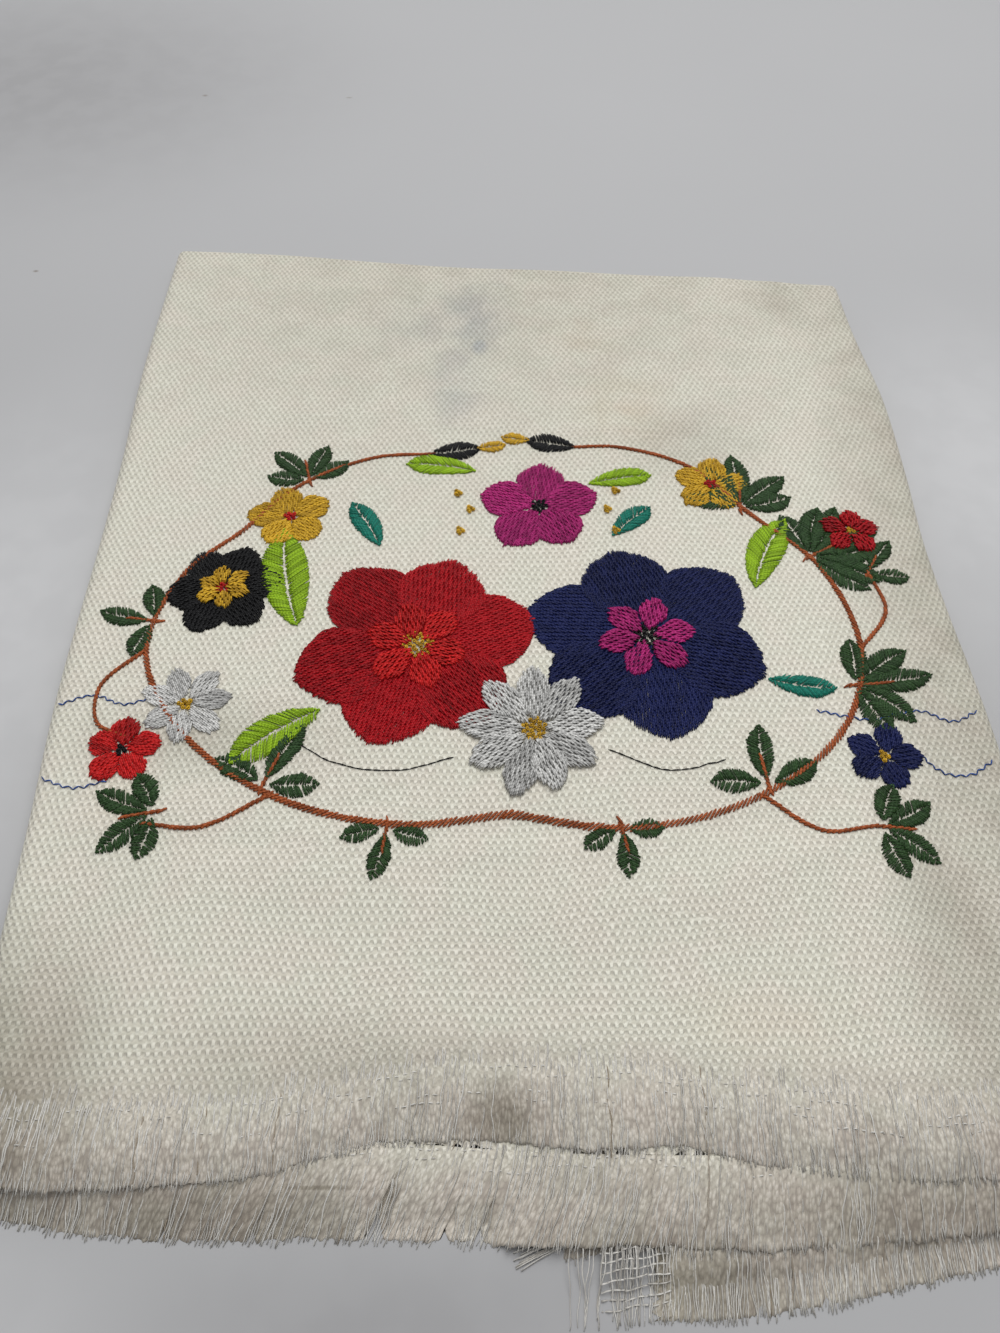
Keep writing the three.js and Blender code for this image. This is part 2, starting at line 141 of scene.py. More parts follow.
def by_column(rows):
    return np.array(rows, dtype=float).T


def running_sum(steps):
    return np.concatenate([[0], np.cumsum(steps)])


def line_through(places, values):
    """A smooth line through values at places."""
    secants = np.diff(values) / np.diff(places)
    slopes = np.concatenate([secants[:1], (secants[1:] + secants[:-1]) / 2, secants[-1:]])

    def line(place):
        place = np.clip(place, places[0], places[-1])
        index = np.clip(np.searchsorted(places, place) - 1, 0, len(places) - 2)
        step = places[index + 1] - places[index]
        part = (place - places[index]) / step
        rise = values[index + 1] - values[index]
        start_slope = slopes[index] * step
        end_slope = slopes[index + 1] * step
        cubic = (start_slope + end_slope - 2 * rise) * part**3
        square = (3 * rise - 2 * start_slope - end_slope) * part**2
        return values[index] + start_slope * part + square + cubic

    return line


EDGES = {
    "upper": line_through(*by_column(UPPER_EDGE)),
    "lower": line_through(*by_column(LOWER_EDGE)),
    "fold": line_through(*by_column(BACK_FOLD)),
}


class Side:
    """A long side of the packet: its rounded fold and the part that is folded under."""

    def __init__(self, outward, fold, wing):
        self.outward = outward
        self.wing = wing
        y, x, radius = by_column(fold)
        self.fold_x = line_through(y, x)
        self.radius = line_through(y, radius)

    def flat_x(self, y):
        """Where the flat top of the packet ends."""
        return self.fold_x(y) - self.outward * (OUTER_OFFSET + self.radius(y))

    def free_x(self, y):
        """X of the free long edge."""
        part = (y - WING_FRONT_Y) / (WING_BACK_Y - WING_FRONT_Y)
        return mix(self.wing["frontX"], self.wing["backX"], part)

    def edge(self, row):
        """The edge of one layer of the part that is folded under, as Y over X."""
        flat_x = self.flat_x(CUT_ENDS_Y)
        fold_y = EDGES[row](flat_x)
        return lambda x: mix(fold_y, self.wing[row], (x - flat_x) / (self.wing["frontX"] - flat_x))


LEFT = Side(-1, LEFT_FOLD, LEFT_WING)
RIGHT = Side(1, RIGHT_FOLD, RIGHT_WING)


def flat_ends(y):
    return LEFT.flat_x(y), RIGHT.flat_x(y)


def relief(forms, x, y):
    """Height of a table of soft ridges and troughs."""
    total = np.zeros(np.broadcast(x, y).shape)
    for form_x, form_y, degrees, length, width, height in forms:
        turn = radians(degrees)
        along = (x - form_x) * cos(turn) + (y - form_y) * sin(turn)
        beside = (y - form_y) * cos(turn) - (x - form_x) * sin(turn)
        total += height * np.exp(-((along / length) ** 2 + (beside / width) ** 2))
    return total


def panel_height(x, y, puckered=False):
    """Height of the middle of the packet's two layers over the top panel."""
    left, right = flat_ends(y)
    across = np.clip((x - left) / (right - left), 0.0, 1.0)
    radius = mix(LEFT.radius(y), RIGHT.radius(y), across)
    fade = smoothstep(x, left, left + RELIEF_FADE) * smoothstep(right - x, 0, RELIEF_FADE)
    height = relief(PANEL_RELIEF, x, y)
    if puckered:
        height += relief(PUCKERS, x, y)
    return OUTER_OFFSET + 2 * radius + height * fade


# Meshes


def linked(name, data):
    """A new object in the scene."""
    thing = bpy.data.objects.new(name, data)
    bpy.context.scene.collection.objects.link(thing)
    return thing


def mesh_piece(name, points, faces, material, flat, tones):
    """A piece from arrays: points, lists of faces with equal corners, flat UVs and tones."""
    mesh = bpy.data.meshes.new(name)
    corners = np.concatenate([group.ravel() for group in faces])
    counts = np.concatenate([np.full(len(group), group.shape[1]) for group in faces])
    mesh.vertices.add(points.size // 3)
    mesh.vertices.foreach_set("co", ((points.reshape(-1, 3) - FRAME_ORIGIN) * MM).ravel())
    mesh.loops.add(len(corners))
    mesh.loops.foreach_set("vertex_index", corners)
    mesh.polygons.add(len(counts))
    mesh.polygons.foreach_set("loop_start", running_sum(counts)[:-1])
    layer = mesh.uv_layers.new(name="flat")
    layer.data.foreach_set("uv", flat.reshape(-1, 2)[corners].ravel())
    mesh.attributes.new("tone", "FLOAT", "POINT").data.foreach_set("value", tones.ravel())
    mesh.update(calc_edges=True)
    mesh.shade_smooth()
    mesh.materials.append(material)
    piece = linked(name, mesh)
    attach(piece, "root")
    return piece


def shell_faces(columns, rows):
    """Faces of a closed shell whose points are an outer and an inner grid, in that order."""
    outer, inner = np.arange(2 * columns * rows).reshape(2, columns, rows)
    groups = [
        (outer[:-1, :-1], outer[1:, :-1], outer[1:, 1:], outer[:-1, 1:]),
        (inner[:-1, :-1], inner[:-1, 1:], inner[1:, 1:], inner[1:, :-1]),
        (outer[:-1, 0], inner[:-1, 0], inner[1:, 0], outer[1:, 0]),
        (outer[:-1, -1], outer[1:, -1], inner[1:, -1], inner[:-1, -1]),
        (outer[0, :-1], outer[0, 1:], inner[0, 1:], inner[0, :-1]),
        (outer[-1, :-1], inner[-1, :-1], inner[-1, 1:], outer[-1, 1:]),
    ]
    return [np.concatenate([joined(*group).reshape(-1, 4) for group in groups])]


def tube_arrays(paths, width, height, tones, sides, first):
    """Closed thin tubes round paths of equal step count, whose points are counted from `first`."""
    threads, steps, _ = paths.shape
    along = np.gradient(paths, axis=1)
    side = joined(along[..., 1], -along[..., 0], 0.0)
    side /= np.linalg.norm(side, axis=-1, keepdims=True) + 1e-9
    up = np.cross(side, along)
    up /= np.linalg.norm(up, axis=-1, keepdims=True) + 1e-9
    angles = 2 * pi * (np.arange(sides) + 0.5) / sides
    half_width = np.broadcast_to(width, (threads, steps))[..., None, None] / 2
    half_height = np.broadcast_to(height, (threads, steps))[..., None, None] / 2
    around = side[:, :, None] * np.cos(angles)[:, None] * half_width
    over = up[:, :, None] * np.sin(angles)[:, None] * half_height
    points = (paths[:, :, None] + around + over).reshape(-1, 3)

    lengths = np.linalg.norm(np.diff(paths, axis=1), axis=-1)
    run = np.concatenate([np.zeros((threads, 1)), np.cumsum(lengths, axis=1)], axis=1)
    flat = joined(run[..., None], np.arange(sides) / sides).reshape(-1, 2)

    index = first + np.arange(threads * steps * sides).reshape(threads, steps, sides)
    beside = np.roll(index, -1, axis=2)
    walls = joined(index[:, :-1], index[:, 1:], beside[:, 1:], beside[:, :-1]).reshape(-1, 4)
    caps = np.concatenate([index[:, 0], index[:, -1, ::-1]])
    return points, walls, caps, flat, np.repeat(tones, steps * sides)


def tube_piece(name, bundles, material, sides):
    """One piece from bundles of (paths, width, height, tone of each path)."""
    parts = []
    first = 0
    for bundle in bundles:
        parts.append(tube_arrays(*bundle, sides, first))
        first += len(parts[-1][0])
    points, walls, caps, flat, tones = (np.concatenate(arrays) for arrays in zip(*parts))
    return mesh_piece(name, points, [walls, caps], material, flat, tones)


# The folded cloth

PANEL_STEPS = 132
TURN_STEPS = 10
WING_STEPS = 12
UPPER_LAYER_STEPS = 150
LOWER_LAYER_STEPS = 28
BACK_FOLD_STEPS = 12
HEM_THIN_LENGTH = 5.0
HEM_THIN_PART = 0.45
HEM_UNEVEN = 0.5
FAR_FROM_HEM = 99.0
LOOSENING_LENGTH = 9.0
LOOSE_AT_EDGE = 0.35
SHARP_ANGLE = 50


def ravelled(distance):
    """How loose the weave is at a distance beyond a cut edge, from 0 inside to 1 in the fringe."""
    inside = smoothstep(distance, -LOOSENING_LENGTH, 0.0)
    return mix(smoothstep(distance, 0.0, LOOSENING_LENGTH), inside, LOOSE_AT_EDGE)


def hem_thickness(from_hem):
    """Thickness of the cloth, which is thinner near its cut edges."""
    return CLOTH_THICKNESS * mix(HEM_THIN_PART, 1.0, smoothstep(from_hem, 0, HEM_THIN_LENGTH))


def sweep_stations():
    """Sides, zones and parts of them from the left free edge, round the top, to the right one."""
    turns = np.linspace(0, pi, TURN_STEPS + 1)
    stations = [(LEFT, "wing", 1 - step / WING_STEPS) for step in range(WING_STEPS)]
    stations += [(LEFT, "turn", turned) for turned in turns[::-1]]
    stations += [(None, "panel", step / PANEL_STEPS) for step in range(1, PANEL_STEPS)]
    stations += [(RIGHT, "turn", turned) for turned in turns]
    stations += [(RIGHT, "wing", (step + 1) / WING_STEPS) for step in range(WING_STEPS)]
    return stations


def row_y(station, row):
    """Y of an end's edge or of the back fold at a station."""
    side, zone, part = station
    near_y = BACK_CORNERS_Y if row == "fold" else CUT_ENDS_Y
    if zone == "panel":
        return EDGES[row](mix(*flat_ends(near_y), part))
    turn_y = EDGES[row](side.flat_x(near_y))
    return mix(turn_y, side.wing[row], part) if zone == "wing" else turn_y


def cloth_points(station, y, offset):
    """Points of the cloth along Y, `offset` outward from the packet's middle, and their flat X."""
    side, zone, part = station
    if zone == "panel":
        x = mix(*flat_ends(y), part)
        return joined(x, y, panel_height(x, y, True) + offset), x
    centre = side.flat_x(y)
    radius = side.radius(y)
    turn_length = pi * (radius + OUTER_OFFSET)
    if zone == "wing":
        x = mix(centre, side.free_x(y), part)
        flat_x = centre + side.outward * (turn_length + np.abs(x - centre))
        return joined(x, y, OUTER_OFFSET - offset), flat_x
    reach = radius + offset
    x = centre + side.outward * reach * sin(part)
    height = OUTER_OFFSET + radius + reach * cos(part)
    return joined(x, y, height), centre + side.outward * part / pi * turn_length


def cloth_face(station, face_offset, unevenness):
    """One face of the folded cloth at a station, with its flat UVs and how loose its weave is."""
    fold_y = row_y(station, "fold") - OUTER_OFFSET
    upper_y = row_y(station, "upper") + unevenness[0]
    lower_y = row_y(station, "lower") + unevenness[1]
    angles = np.linspace(pi / 2, -pi / 2, BACK_FOLD_STEPS + 1)
    upper = np.linspace(upper_y, fold_y, UPPER_LAYER_STEPS, endpoint=False)
    lower = np.linspace(fold_y, lower_y, LOWER_LAYER_STEPS + 1)[1:]
    y = np.concatenate([upper, fold_y + face_offset * np.cos(angles), lower])
    over = np.concatenate([np.ones(len(upper)), np.sin(angles), -np.ones(len(lower))])
    from_hem = np.concatenate([upper - upper_y, np.full(len(angles), FAR_FROM_HEM), lower - lower_y])
    kept = hem_thickness(from_hem)
    offset = face_offset * over
    if face_offset == OUTER_OFFSET:
        offset = np.minimum(offset, INNER_OFFSET + kept)
    else:
        offset = np.where(offset < 0, np.minimum(offset, kept - OUTER_OFFSET), offset)
    points, flat_x = cloth_points(station, y, offset)
    arc = pi * (INNER_OFFSET + CLOTH_THICKNESS / 2)
    flat_fold = fold_y + arc * np.linspace(0, 1, len(angles))
    flat_y = np.concatenate([upper, flat_fold, fold_y + arc + (fold_y - lower)])
    return points, joined(flat_x, flat_y), ravelled(-from_hem)


def cloth_piece(material):
    """The closed cloth: its folded section swept from one free long edge to the other."""
    stations = sweep_stations()
    unevenness = normal(0, HEM_UNEVEN, (len(stations), 2))
    faces = [
        [cloth_face(station, offset, uneven) for station, uneven in zip(stations, unevenness)]
        for offset in (OUTER_OFFSET, INNER_OFFSET)
    ]
    points, flat, loose = (
        np.array([[face[part] for face in side] for side in faces]) for part in range(3)
    )
    shell = shell_faces(*points.shape[1:3])
    cloth = mesh_piece("folded_cloth", points, shell, material, flat, loose)
    cloth.data.set_sharp_from_angle(angle=radians(SHARP_ANGLE))
    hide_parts("runner_cloth")
    return cloth


# Fringes: threads drawn out of the cloth, grouped in soft locks

MOST_LOCKS = 400
FRINGE_END_INSET = 3.2
WING_FRINGE_INSET = 6.0
ROOT_SET_BACK = 1.8
ROOT_OVERLAP = (0.8, 9.0)
TIP_DROP = 0.85
TIP_DROP_START = 0.45
LEAN_CURVE = 1.2

# Single threads. Crinkle and ripple give how far they go sideways and the range of their turns.
ROOT_JITTER = 0.15
LOCK_PULL = 0.25
THREAD_SHORTER = 0.15
THREAD_STEPS = 20
THREAD_WIDTH = 0.38
THREAD_WIDTHS = (0.75, 1.2)
THREAD_TIP_PART = 0.65
THREAD_FLATNESS = 0.85
THREAD_LENGTH_JITTER = 0.38
THREAD_LEAN_JITTER = 0.4
CRINKLE = (0.34, 5, 12)
RIPPLE = (0.16, 16, 26)
RIPPLE_HEIGHT = 0.06
CRIMP_LENGTH = 3.3
CRIMP_HEIGHT = 0.10
WEFT_PIECE = 4.65
WEFT_STEPS = 11
WEFT_START = 0.9
WEFT_WAVE = 0.30
WEFT_SINK = 0.14
WEFT_FLATNESS = 0.8
GRID_CHANCE = 0.95
STRAY_COUNT = 11

# The mat below the threads: pitch, rows, lap over the cloth, thickness and ragged tips.
MAT_PITCH = 0.5
MAT_ROWS = 26
MAT_LAP = 4.5
MAT_LAP_ROWS = 8
MAT_LAP_SINK = 0.30
MAT_THICKNESS = (0.50, 0.28)
MAT_THIN_LENGTH = 16
MAT_SWELL = 0.36
SWELL_SPACING = 3.2
MAT_RAGGED = 0.7
RAGGED_SPACINGS = (2.6, 9.0)
MAT_SHORTER = 0.75
MAT_JITTER = 0.2
MAT_TIP_LENGTH = 2.0
MAT_TIP_PART = 0.2
LEAST_HEIGHT = 0.02
LEAST_THICKNESS = 0.05

# The open corner of the fringe below at the right, where the mat ends.
CORNER_WIDTH = 4
CORNER_HEIGHT = 0.6
CORNER_THICKNESS = 0.1
CORNER_LOOSE = 0.35
CORNER_FADE = 15


def on_floor(x, y):
    return np.zeros(np.broadcast(x, y).shape)


def even(value):
    return lambda x: np.full(np.shape(x), float(value))


def along_x(*rows):
    """Values over X, straight from row to row."""
    return lambda x: np.interp(x, *by_column(rows))


def lock_pull(x, widths):
    """For each thread its lock, and how far it is from the middle of that lock."""
    edges = x.min() + running_sum(uniform(*widths, MOST_LOCKS))
    lock = np.clip(np.searchsorted(edges, x) - 1, 0, MOST_LOCKS - 1)
    return (edges[lock] + edges[lock + 1]) / 2 - x, lock


def underside_levels(tier, x, length, inside):
    """Heights of a fringe's underside, for each X at parts of its length."""
    root_y = tier.edge_y(x) - ROOT_SET_BACK
    bends = np.array([0.0, *tier.bends, 1.0])
    levels = [tier.underside(x)]
    for bend, rise in zip(bends[1:], tier.rises):
        levels.append(tier.support(x, root_y - length * bend) + rise(x))
    levels = joined(*levels)
    index = np.clip(np.searchsorted(bends, inside) - 1, 0, len(bends) - 2)
    share = (inside - bends[index]) / (bends[index + 1] - bends[index])
    before = np.take_along_axis(levels, index, axis=1)
    after = np.take_along_axis(levels, index + 1, axis=1)
    return before * (1 - share) + after * share


def hem_top(tier, x, y):
    """Height of the top of the packet near an edge, where the cloth thins out."""
    return panel_height(x, y, True) + INNER_OFFSET + hem_thickness(y - tier.edge_y(x))


def keep_threads(tier, x):
    """Leaves out some threads where the fringe has an opening."""
    chance = np.ones(len(x))
    for middle, half, left in tier.openings:
        chance = np.minimum(chance, mix(left, 1.0, smoothstep(np.abs(x - middle), half * 0.6, half)))
    return uniform(0, 1, len(x)) < chance


def soft_noise(x, spacing):
    """Smooth unevenness from -0.5 to 0.5 along X."""
    places = np.arange(x.min() - spacing, x.max() + 2 * spacing, spacing)
    places = places + uniform(-0.3, 0.3, len(places)) * spacing
    return np.interp(x, places, uniform(-0.5, 0.5, len(places)))


def tip_drop(inside):
    """How far the fine fringe sinks below its plain solid's underside towards its tips."""
    return TIP_DROP * smoothstep(inside, TIP_DROP_START, 1.0)


def mat_thickness(distance):
    return mix(*MAT_THICKNESS, smoothstep(distance, 0, MAT_THIN_LENGTH))


def fringe_mat(name, material, tier):
    """The dense body of one fringe, under its loose threads: a thin mat with a ragged edge."""
    root_x = np.arange(tier.mat_from, tier.end_x, MAT_PITCH)
    ragged = sum(soft_noise(root_x, spacing) for spacing in RAGGED_SPACINGS)
    length = tier.length(root_x) + MAT_RAGGED * ragged
    length += normal(-MAT_SHORTER, MAT_JITTER, len(root_x))
    for x, half, depth in tier.notches:
        length -= depth * (1 - smoothstep(np.abs(root_x - x), 0, half))
    distance = (length + ROOT_SET_BACK)[:, None] * np.linspace(1, 0.01, MAT_ROWS)
    if tier.on_top:
        lap = np.linspace(0, -MAT_LAP, MAT_LAP_ROWS)[1:]
        distance = np.concatenate([distance, np.tile(lap, (len(root_x), 1))], axis=1)
    inside = np.clip((distance - ROOT_SET_BACK) / length[:, None], 0, 1)
    low = underside_levels(tier, root_x, length, inside) - tip_drop(inside)
    x = root_x[:, None] + tier.lean(root_x)[:, None] * inside**LEAN_CURVE
    y = tier.edge_y(root_x)[:, None] - distance
    swell = soft_noise(root_x, SWELL_SPACING)[:, None] * MAT_SWELL * smoothstep(distance, 1, 9)
    high = low + mat_thickness(distance) + swell
    emerging = mix(-MAT_LAP_SINK, 0.04, smoothstep(distance, -MAT_LAP, 0))
    high = np.where(distance < 0, hem_top(tier, x, y) + emerging, high)
    low = np.maximum(np.where(distance < 0, high - MAT_LAP_SINK, low), LEAST_HEIGHT)
    to_tip = length[:, None] + ROOT_SET_BACK - distance
    high = mix(low, high, mix(MAT_TIP_PART, 1.0, smoothstep(to_tip, 0, MAT_TIP_LENGTH)))
    high = np.maximum(high, low + LEAST_THICKNESS)
    loose = ravelled(distance)
    if tier.mat_from > tier.start_x:
        corner = smoothstep(tier.mat_from + CORNER_WIDTH - root_x, 0, CORNER_WIDTH)[:, None]
        x = x - corner * 1.2 * (1 + np.sin(distance * 1.3) * np.cos(distance * 3.1))
        low = mix(low, np.minimum(low, CORNER_HEIGHT), corner)
        high = mix(high, low + CORNER_THICKNESS, corner)
        from_corner = smoothstep(root_x - tier.mat_from, 0, CORNER_FADE)[:, None]
        loose = loose * mix(CORNER_LOOSE, 1.0, from_corner)
    points = np.stack([joined(x, y, z) for z in (high, low)])
    flat = np.stack([joined(root_x[:, None], y)] * 2)
    faces = shell_faces(*x.shape)
    return mesh_piece("mat_" + name, points, faces, material, flat, np.stack([loose] * 2))


def fringe_bundle(tier):
    """The threads of one fringe, as a bundle for tube_piece."""
    root_x = np.linspace(tier.start_x, tier.end_x, tier.threads)
    root_x = root_x + normal(0, ROOT_JITTER, tier.threads)
    root_x = root_x[keep_threads(tier, root_x)]
    count = len(root_x)
    pull, lock = lock_pull(root_x, tier.locks)
    lean = tier.lean(root_x) + normal(0, tier.lock_lean, MOST_LOCKS + 1)[lock]
    lean += normal(0, THREAD_LEAN_JITTER, count)
    lean += pull * uniform(0.0, LOCK_PULL, MOST_LOCKS + 1)[lock]
    length = tier.length(root_x) + normal(0, tier.uneven, MOST_LOCKS + 1)[lock]
    length += normal(-THREAD_SHORTER, THREAD_LENGTH_JITTER, count)
    part = np.linspace(0, 1, THREAD_STEPS)
    overlap = mix(*ROOT_OVERLAP, uniform(0, 1, count) ** 1.6)
    distance = (length + ROOT_SET_BACK)[:, None] * part
    inside = np.clip((distance - ROOT_SET_BACK) / length[:, None], 0, 1)
    height = underside_levels(tier, root_x, length, inside) - tip_drop(inside)

    raised = mat_thickness(distance) + uniform(-0.10, 0.16, count)[:, None]
    phase = uniform(0, 2 * pi, (3, count, 1))
    every_second = np.where(np.arange(count) % 2, 0, pi)[:, None]
    crimp_turn = 2 * pi * distance / CRIMP_LENGTH + every_second
    crimp = CRIMP_HEIGHT * np.sin(crimp_turn) * mix(1.0, 0.4, part)
    crinkle = np.sin(part * uniform(*CRINKLE[1:], count)[:, None] + phase[0])
    ripple = np.sin(part * uniform(*RIPPLE[1:], count)[:, None] + phase[1])
    x = root_x[:, None] + lean[:, None] * part**LEAN_CURVE
    x += (CRINKLE[0] * crinkle + RIPPLE[0] * ripple) * part**0.5
    start_y = tier.edge_y(root_x) + overlap
    y = start_y[:, None] - (length + ROOT_SET_BACK + overlap)[:, None] * part
    z = height + raised + crimp + RIPPLE_HEIGHT * ripple
    if tier.on_top:
        over_edge = y - tier.edge_y(x)
        emerging = mix(-0.35, 0.10, smoothstep(-over_edge, -overlap[:, None], 1.0))
        lying = hem_top(tier, x, y) + emerging + crimp
        z = mix(z, lying, smoothstep(over_edge, -1.0, 0.3))
    z = np.maximum(z, THREAD_WIDTH / 2)
    width = THREAD_WIDTH * uniform(*THREAD_WIDTHS, count)[:, None]
    width = width * mix(1.0, THREAD_TIP_PART, part**3)
    return joined(x, y, z), width, width * THREAD_FLATNESS, uniform(-0.5, 0.5, count)


def crosswise(paths, width):
    """Crosswise threads as a bundle for tube_piece."""
    tones = uniform(-0.4, 0.4, len(paths))
    return np.array(paths), width, width * WEFT_FLATNESS, tones


def weft_bundle(tier):
    """Crosswise threads that are still woven through the first rows of a fringe."""
    paths = []
    for row, share in enumerate(tier.weft):
        distance = WEFT_START + WEAVE_ROW * row
        starts = np.arange(tier.grid_from, tier.end_x - WEFT_PIECE, WEFT_PIECE)
        chance = np.where(starts < tier.mat_from, GRID_CHANCE, share)
        for x in starts[uniform(0, 1, len(starts)) < chance]:
            place = x + np.linspace(0, WEFT_PIECE, WEFT_STEPS)
            length = tier.length(place)
            inside = np.full((WEFT_STEPS, 1), max(distance - ROOT_SET_BACK, 0) / length.mean())
            wave = WEFT_WAVE * np.cos(2 * pi * place / WEAVE_ACROSS + pi * row)
            level = underside_levels(tier, place, length, inside)[:, 0] + wave
            y = tier.edge_y(place) - distance + normal(0, 0.12) + 0.18 * np.sin(place * 0.9 + row)
            paths.append(joined(place, y, level + mat_thickness(distance) - WEFT_SINK))
    return crosswise(paths, THREAD_WIDTH * 1.05)


def stray_bundle(tier):
    """Crosswise threads that stick out of an unravelled corner, fanned and curved."""
    part = np.linspace(0, 1, WEFT_STEPS)[:, None]
    paths = []
    for turn in np.linspace(-1, 1, STRAY_COUNT):
        start, middle, end = (
            np.add(place, (normal(0, 0.5), turn * fan, 0)) for place, fan in tier.strays
        )
        paths.append(start * (1 - part) ** 2 + 2 * middle * part * (1 - part) + end * part**2)
    return crosswise(paths, THREAD_WIDTH)


# How far the threads' underside is over what carries them, at each bend and at the tip.
UPPER_TIP_RISE = along_x(
    (-112, -0.7), (-50, -0.5), (-32, 0.0), (-16, 0.3), (30, 0.3), (52, 0.1), (80, -0.5), (131, -0.6)
)
LOWER_RISES = (
    along_x((-26, 2.8), (-18, 1.7), (3, 1.7), (10, 3.1)),
    along_x((-26, 1.8), (-18, 0.7), (3, 0.7), (10, 3.0), (62, 3.0), (100, 2.4), (131, 2.2)),
    along_x((-26, 0.6), (-18, 0.2), (3, 0.2), (10, 3.0), (62, 2.8), (100, 1.6), (131, 1.4)),
)
WING_RISES = (even(1.3), even(0.0), even(0.0))
PLAIN_TIER = dict(
    locks=(2.0, 5.0), lock_lean=0.5, uneven=0.4, weft=(0.5, 0.3), on_top=False,
    bends=(), rises=(even(0.0),), openings=(), notches=(), strays=(),
)
TIERS = {
    "upper_middle": dict(
        threads=520, locks=(3.0, 9.0), lock_lean=0.35, uneven=0.15, lean=even(-0.6),
        length=along_x(
            (-97, 14.7), (-81, 14.5), (-71, 14.0), (-51, 13.7), (-35, 12.9), (-25, 12.6), (-15, 13.8),
            (4, 14.3), (12, 15.3), (21, 15.5), (31, 14.1), (41, 12.9), (53, 14.3), (72, 15.0),
            (82, 14.0), (102, 15.6), (131, 15.2),
        ),
        bends=(0.62,), rises=(even(0.3), UPPER_TIP_RISE), on_top=True,
        openings=((0, 7, 0.4), (80, 3.0, 0.4)), weft=(0.3, 0.3, 0.25, 0.2, 0.1),
    ),
    "lower_middle": dict(
        threads=430, locks=(3.0, 9.0), lock_lean=0.8, uneven=0.2,
        lean=along_x(
            (-112, -1.0), (-75, -3.0), (-50, -6.5), (-8, -6.5), (14, -6.0), (30, -5.5), (42, -4.0),
            (60, -2.4), (131, -1.6),
        ),
        length=along_x(
            (-96, 15.4), (-89, 16.4), (-81, 16.7), (-61, 16.2), (-50, 16.7), (-20, 16.8), (-10, 16.1),
            (4, 16.0), (12, 16.2), (30, 15.4), (40, 15.8), (56, 16.5), (80, 15.5), (131, 15.4),
        ),
        bends=(0.5, 0.75), rises=LOWER_RISES, weft=(0.3, 0.2, 0.1),
        notches=((-19, 2.2, 5.5), (-64, 1.0, 2.0), (-44, 0.9, 1.6), (2, 1.2, 2.6), (-5, 0.9, 2.0)),
    ),
    "upper_left": dict(threads=110, lean=even(1.0), length=even(12.6)),
    "lower_left": dict(
        threads=130, lean=even(1.0), length=even(15.0), bends=(0.72, 0.88),
        rises=WING_RISES,
    ),
    "upper_right": dict(threads=150, lean=even(-1.2), length=even(14.0)),
    "lower_right": dict(
        threads=300, locks=(3.0, 8.0), uneven=0.25, lean=even(-1.6),
        length=along_x(
            (14, 15.6), (29, 17.3), (39, 18.5), (49, 19.8), (59, 19.6), (69, 20.0), (79, 19.1),
            (90, 18.6), (131, 16.9),
        ),
        bends=(0.52, 0.72), rises=WING_RISES, mat_from=33.0, grid_from=20.0,
        openings=((12, 12, 0.2), (30, 9, 0.8)), weft=(0.4, 0.4, 0.3, 0.3, 0.1, 0, 0, 0, 0, 0),
        notches=((53, 1.4, 2.0), (66, 1.0, 1.4)),
        strays=(((22.0, 22.2, 0.8), 0.5), ((12.0, 20.6, 0.5), 1.1), ((3.5, 16.6, 0.3), 1.7)),
    ),
}


def fringe_tier(name):
    """One fringe's table with where it goes: its ends, its edge, its underside and support."""
    row, zone = name.split("_")
    is_upper = row == "upper"
    if zone == "middle":
        start_x = LEFT.fold_x(CUT_ENDS_Y) + FRINGE_END_INSET
        end_x = RIGHT.fold_x(CUT_ENDS_Y) - FRINGE_END_INSET
        edge_y = EDGES[row]
        offset = INNER_OFFSET if is_upper else -OUTER_OFFSET

        def underside(x):
            return panel_height(x, edge_y(x)) + offset

    else:
        side = LEFT if zone == "left" else RIGHT
        outer_x = side.flat_x(CUT_ENDS_Y) - side.outward * WING_FRINGE_INSET
        start_x, end_x = sorted([outer_x, side.wing["frontX"]])
        edge_y = side.edge(row)
        underside = even(0.0 if is_upper else OUTER_OFFSET + INNER_OFFSET)
    support = panel_height if name == "upper_middle" else on_floor
    ends = dict(start_x=start_x, end_x=end_x, mat_from=start_x, grid_from=start_x)
    heights = dict(edge_y=edge_y, underside=underside, support=support)
    return SimpleNamespace(**(PLAIN_TIER | ends | heights | TIERS[name]))


def fringe_pieces(thread_look, upper_look, lower_look):
    """The six fringes, each a mat with loose threads on it, in place of its own node."""
    pieces = []
    for name in TIERS:
        tier = fringe_tier(name)
        bundles = [fringe_bundle(tier), weft_bundle(tier)]
        if tier.strays:
            bundles.append(stray_bundle(tier))
        threads = tube_piece("threads_" + name, bundles, thread_look, 3)
        mat = fringe_mat(name, upper_look if tier.on_top else lower_look, tier)
        for piece in (threads, mat):
            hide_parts("fringe_" + name)
            pieces.append(piece)
    return pieces


# Embroidery: every stitch is a flattened, arched thread

STITCH_STEPS = 5
STITCH_WIDTH = 0.68
STITCH_HEIGHT = 0.44
STITCH_PITCH = 0.50
STITCH_LENGTH = 4.6
STITCH_STAGGER = 0.382
STAGGER_REACH = 0.8
STITCH_ARCH = 0.6
STITCH_END_LIFT = 0.35
STITCH_END_WIDTH = 0.6
STITCH_SHADES = 0.35
STITCH_LAP = 0.15
STITCH_JITTER = 0.30
SHORTEST_STITCH = 0.9
SHORTEST_ROW = 0.8
SATIN_LIFT = 0.42
SATIN_JITTER = 0.14
UNDERLAY_PITCH = 0.95
UNDERLAY_WIDTH = 1.25
UNDERLAY_HEIGHT = 0.30
UNDERLAY_LIFT = 0.10
UNDERLAY_SHRINK = 0.93
UNDERLAY_TONE = -0.2
OUTLINE_STEPS = 30
LEAF_STEPS = 40
LEAF_GAP = 0.06
PATH_STEPS = 400
ROPE_PITCH = 1.25
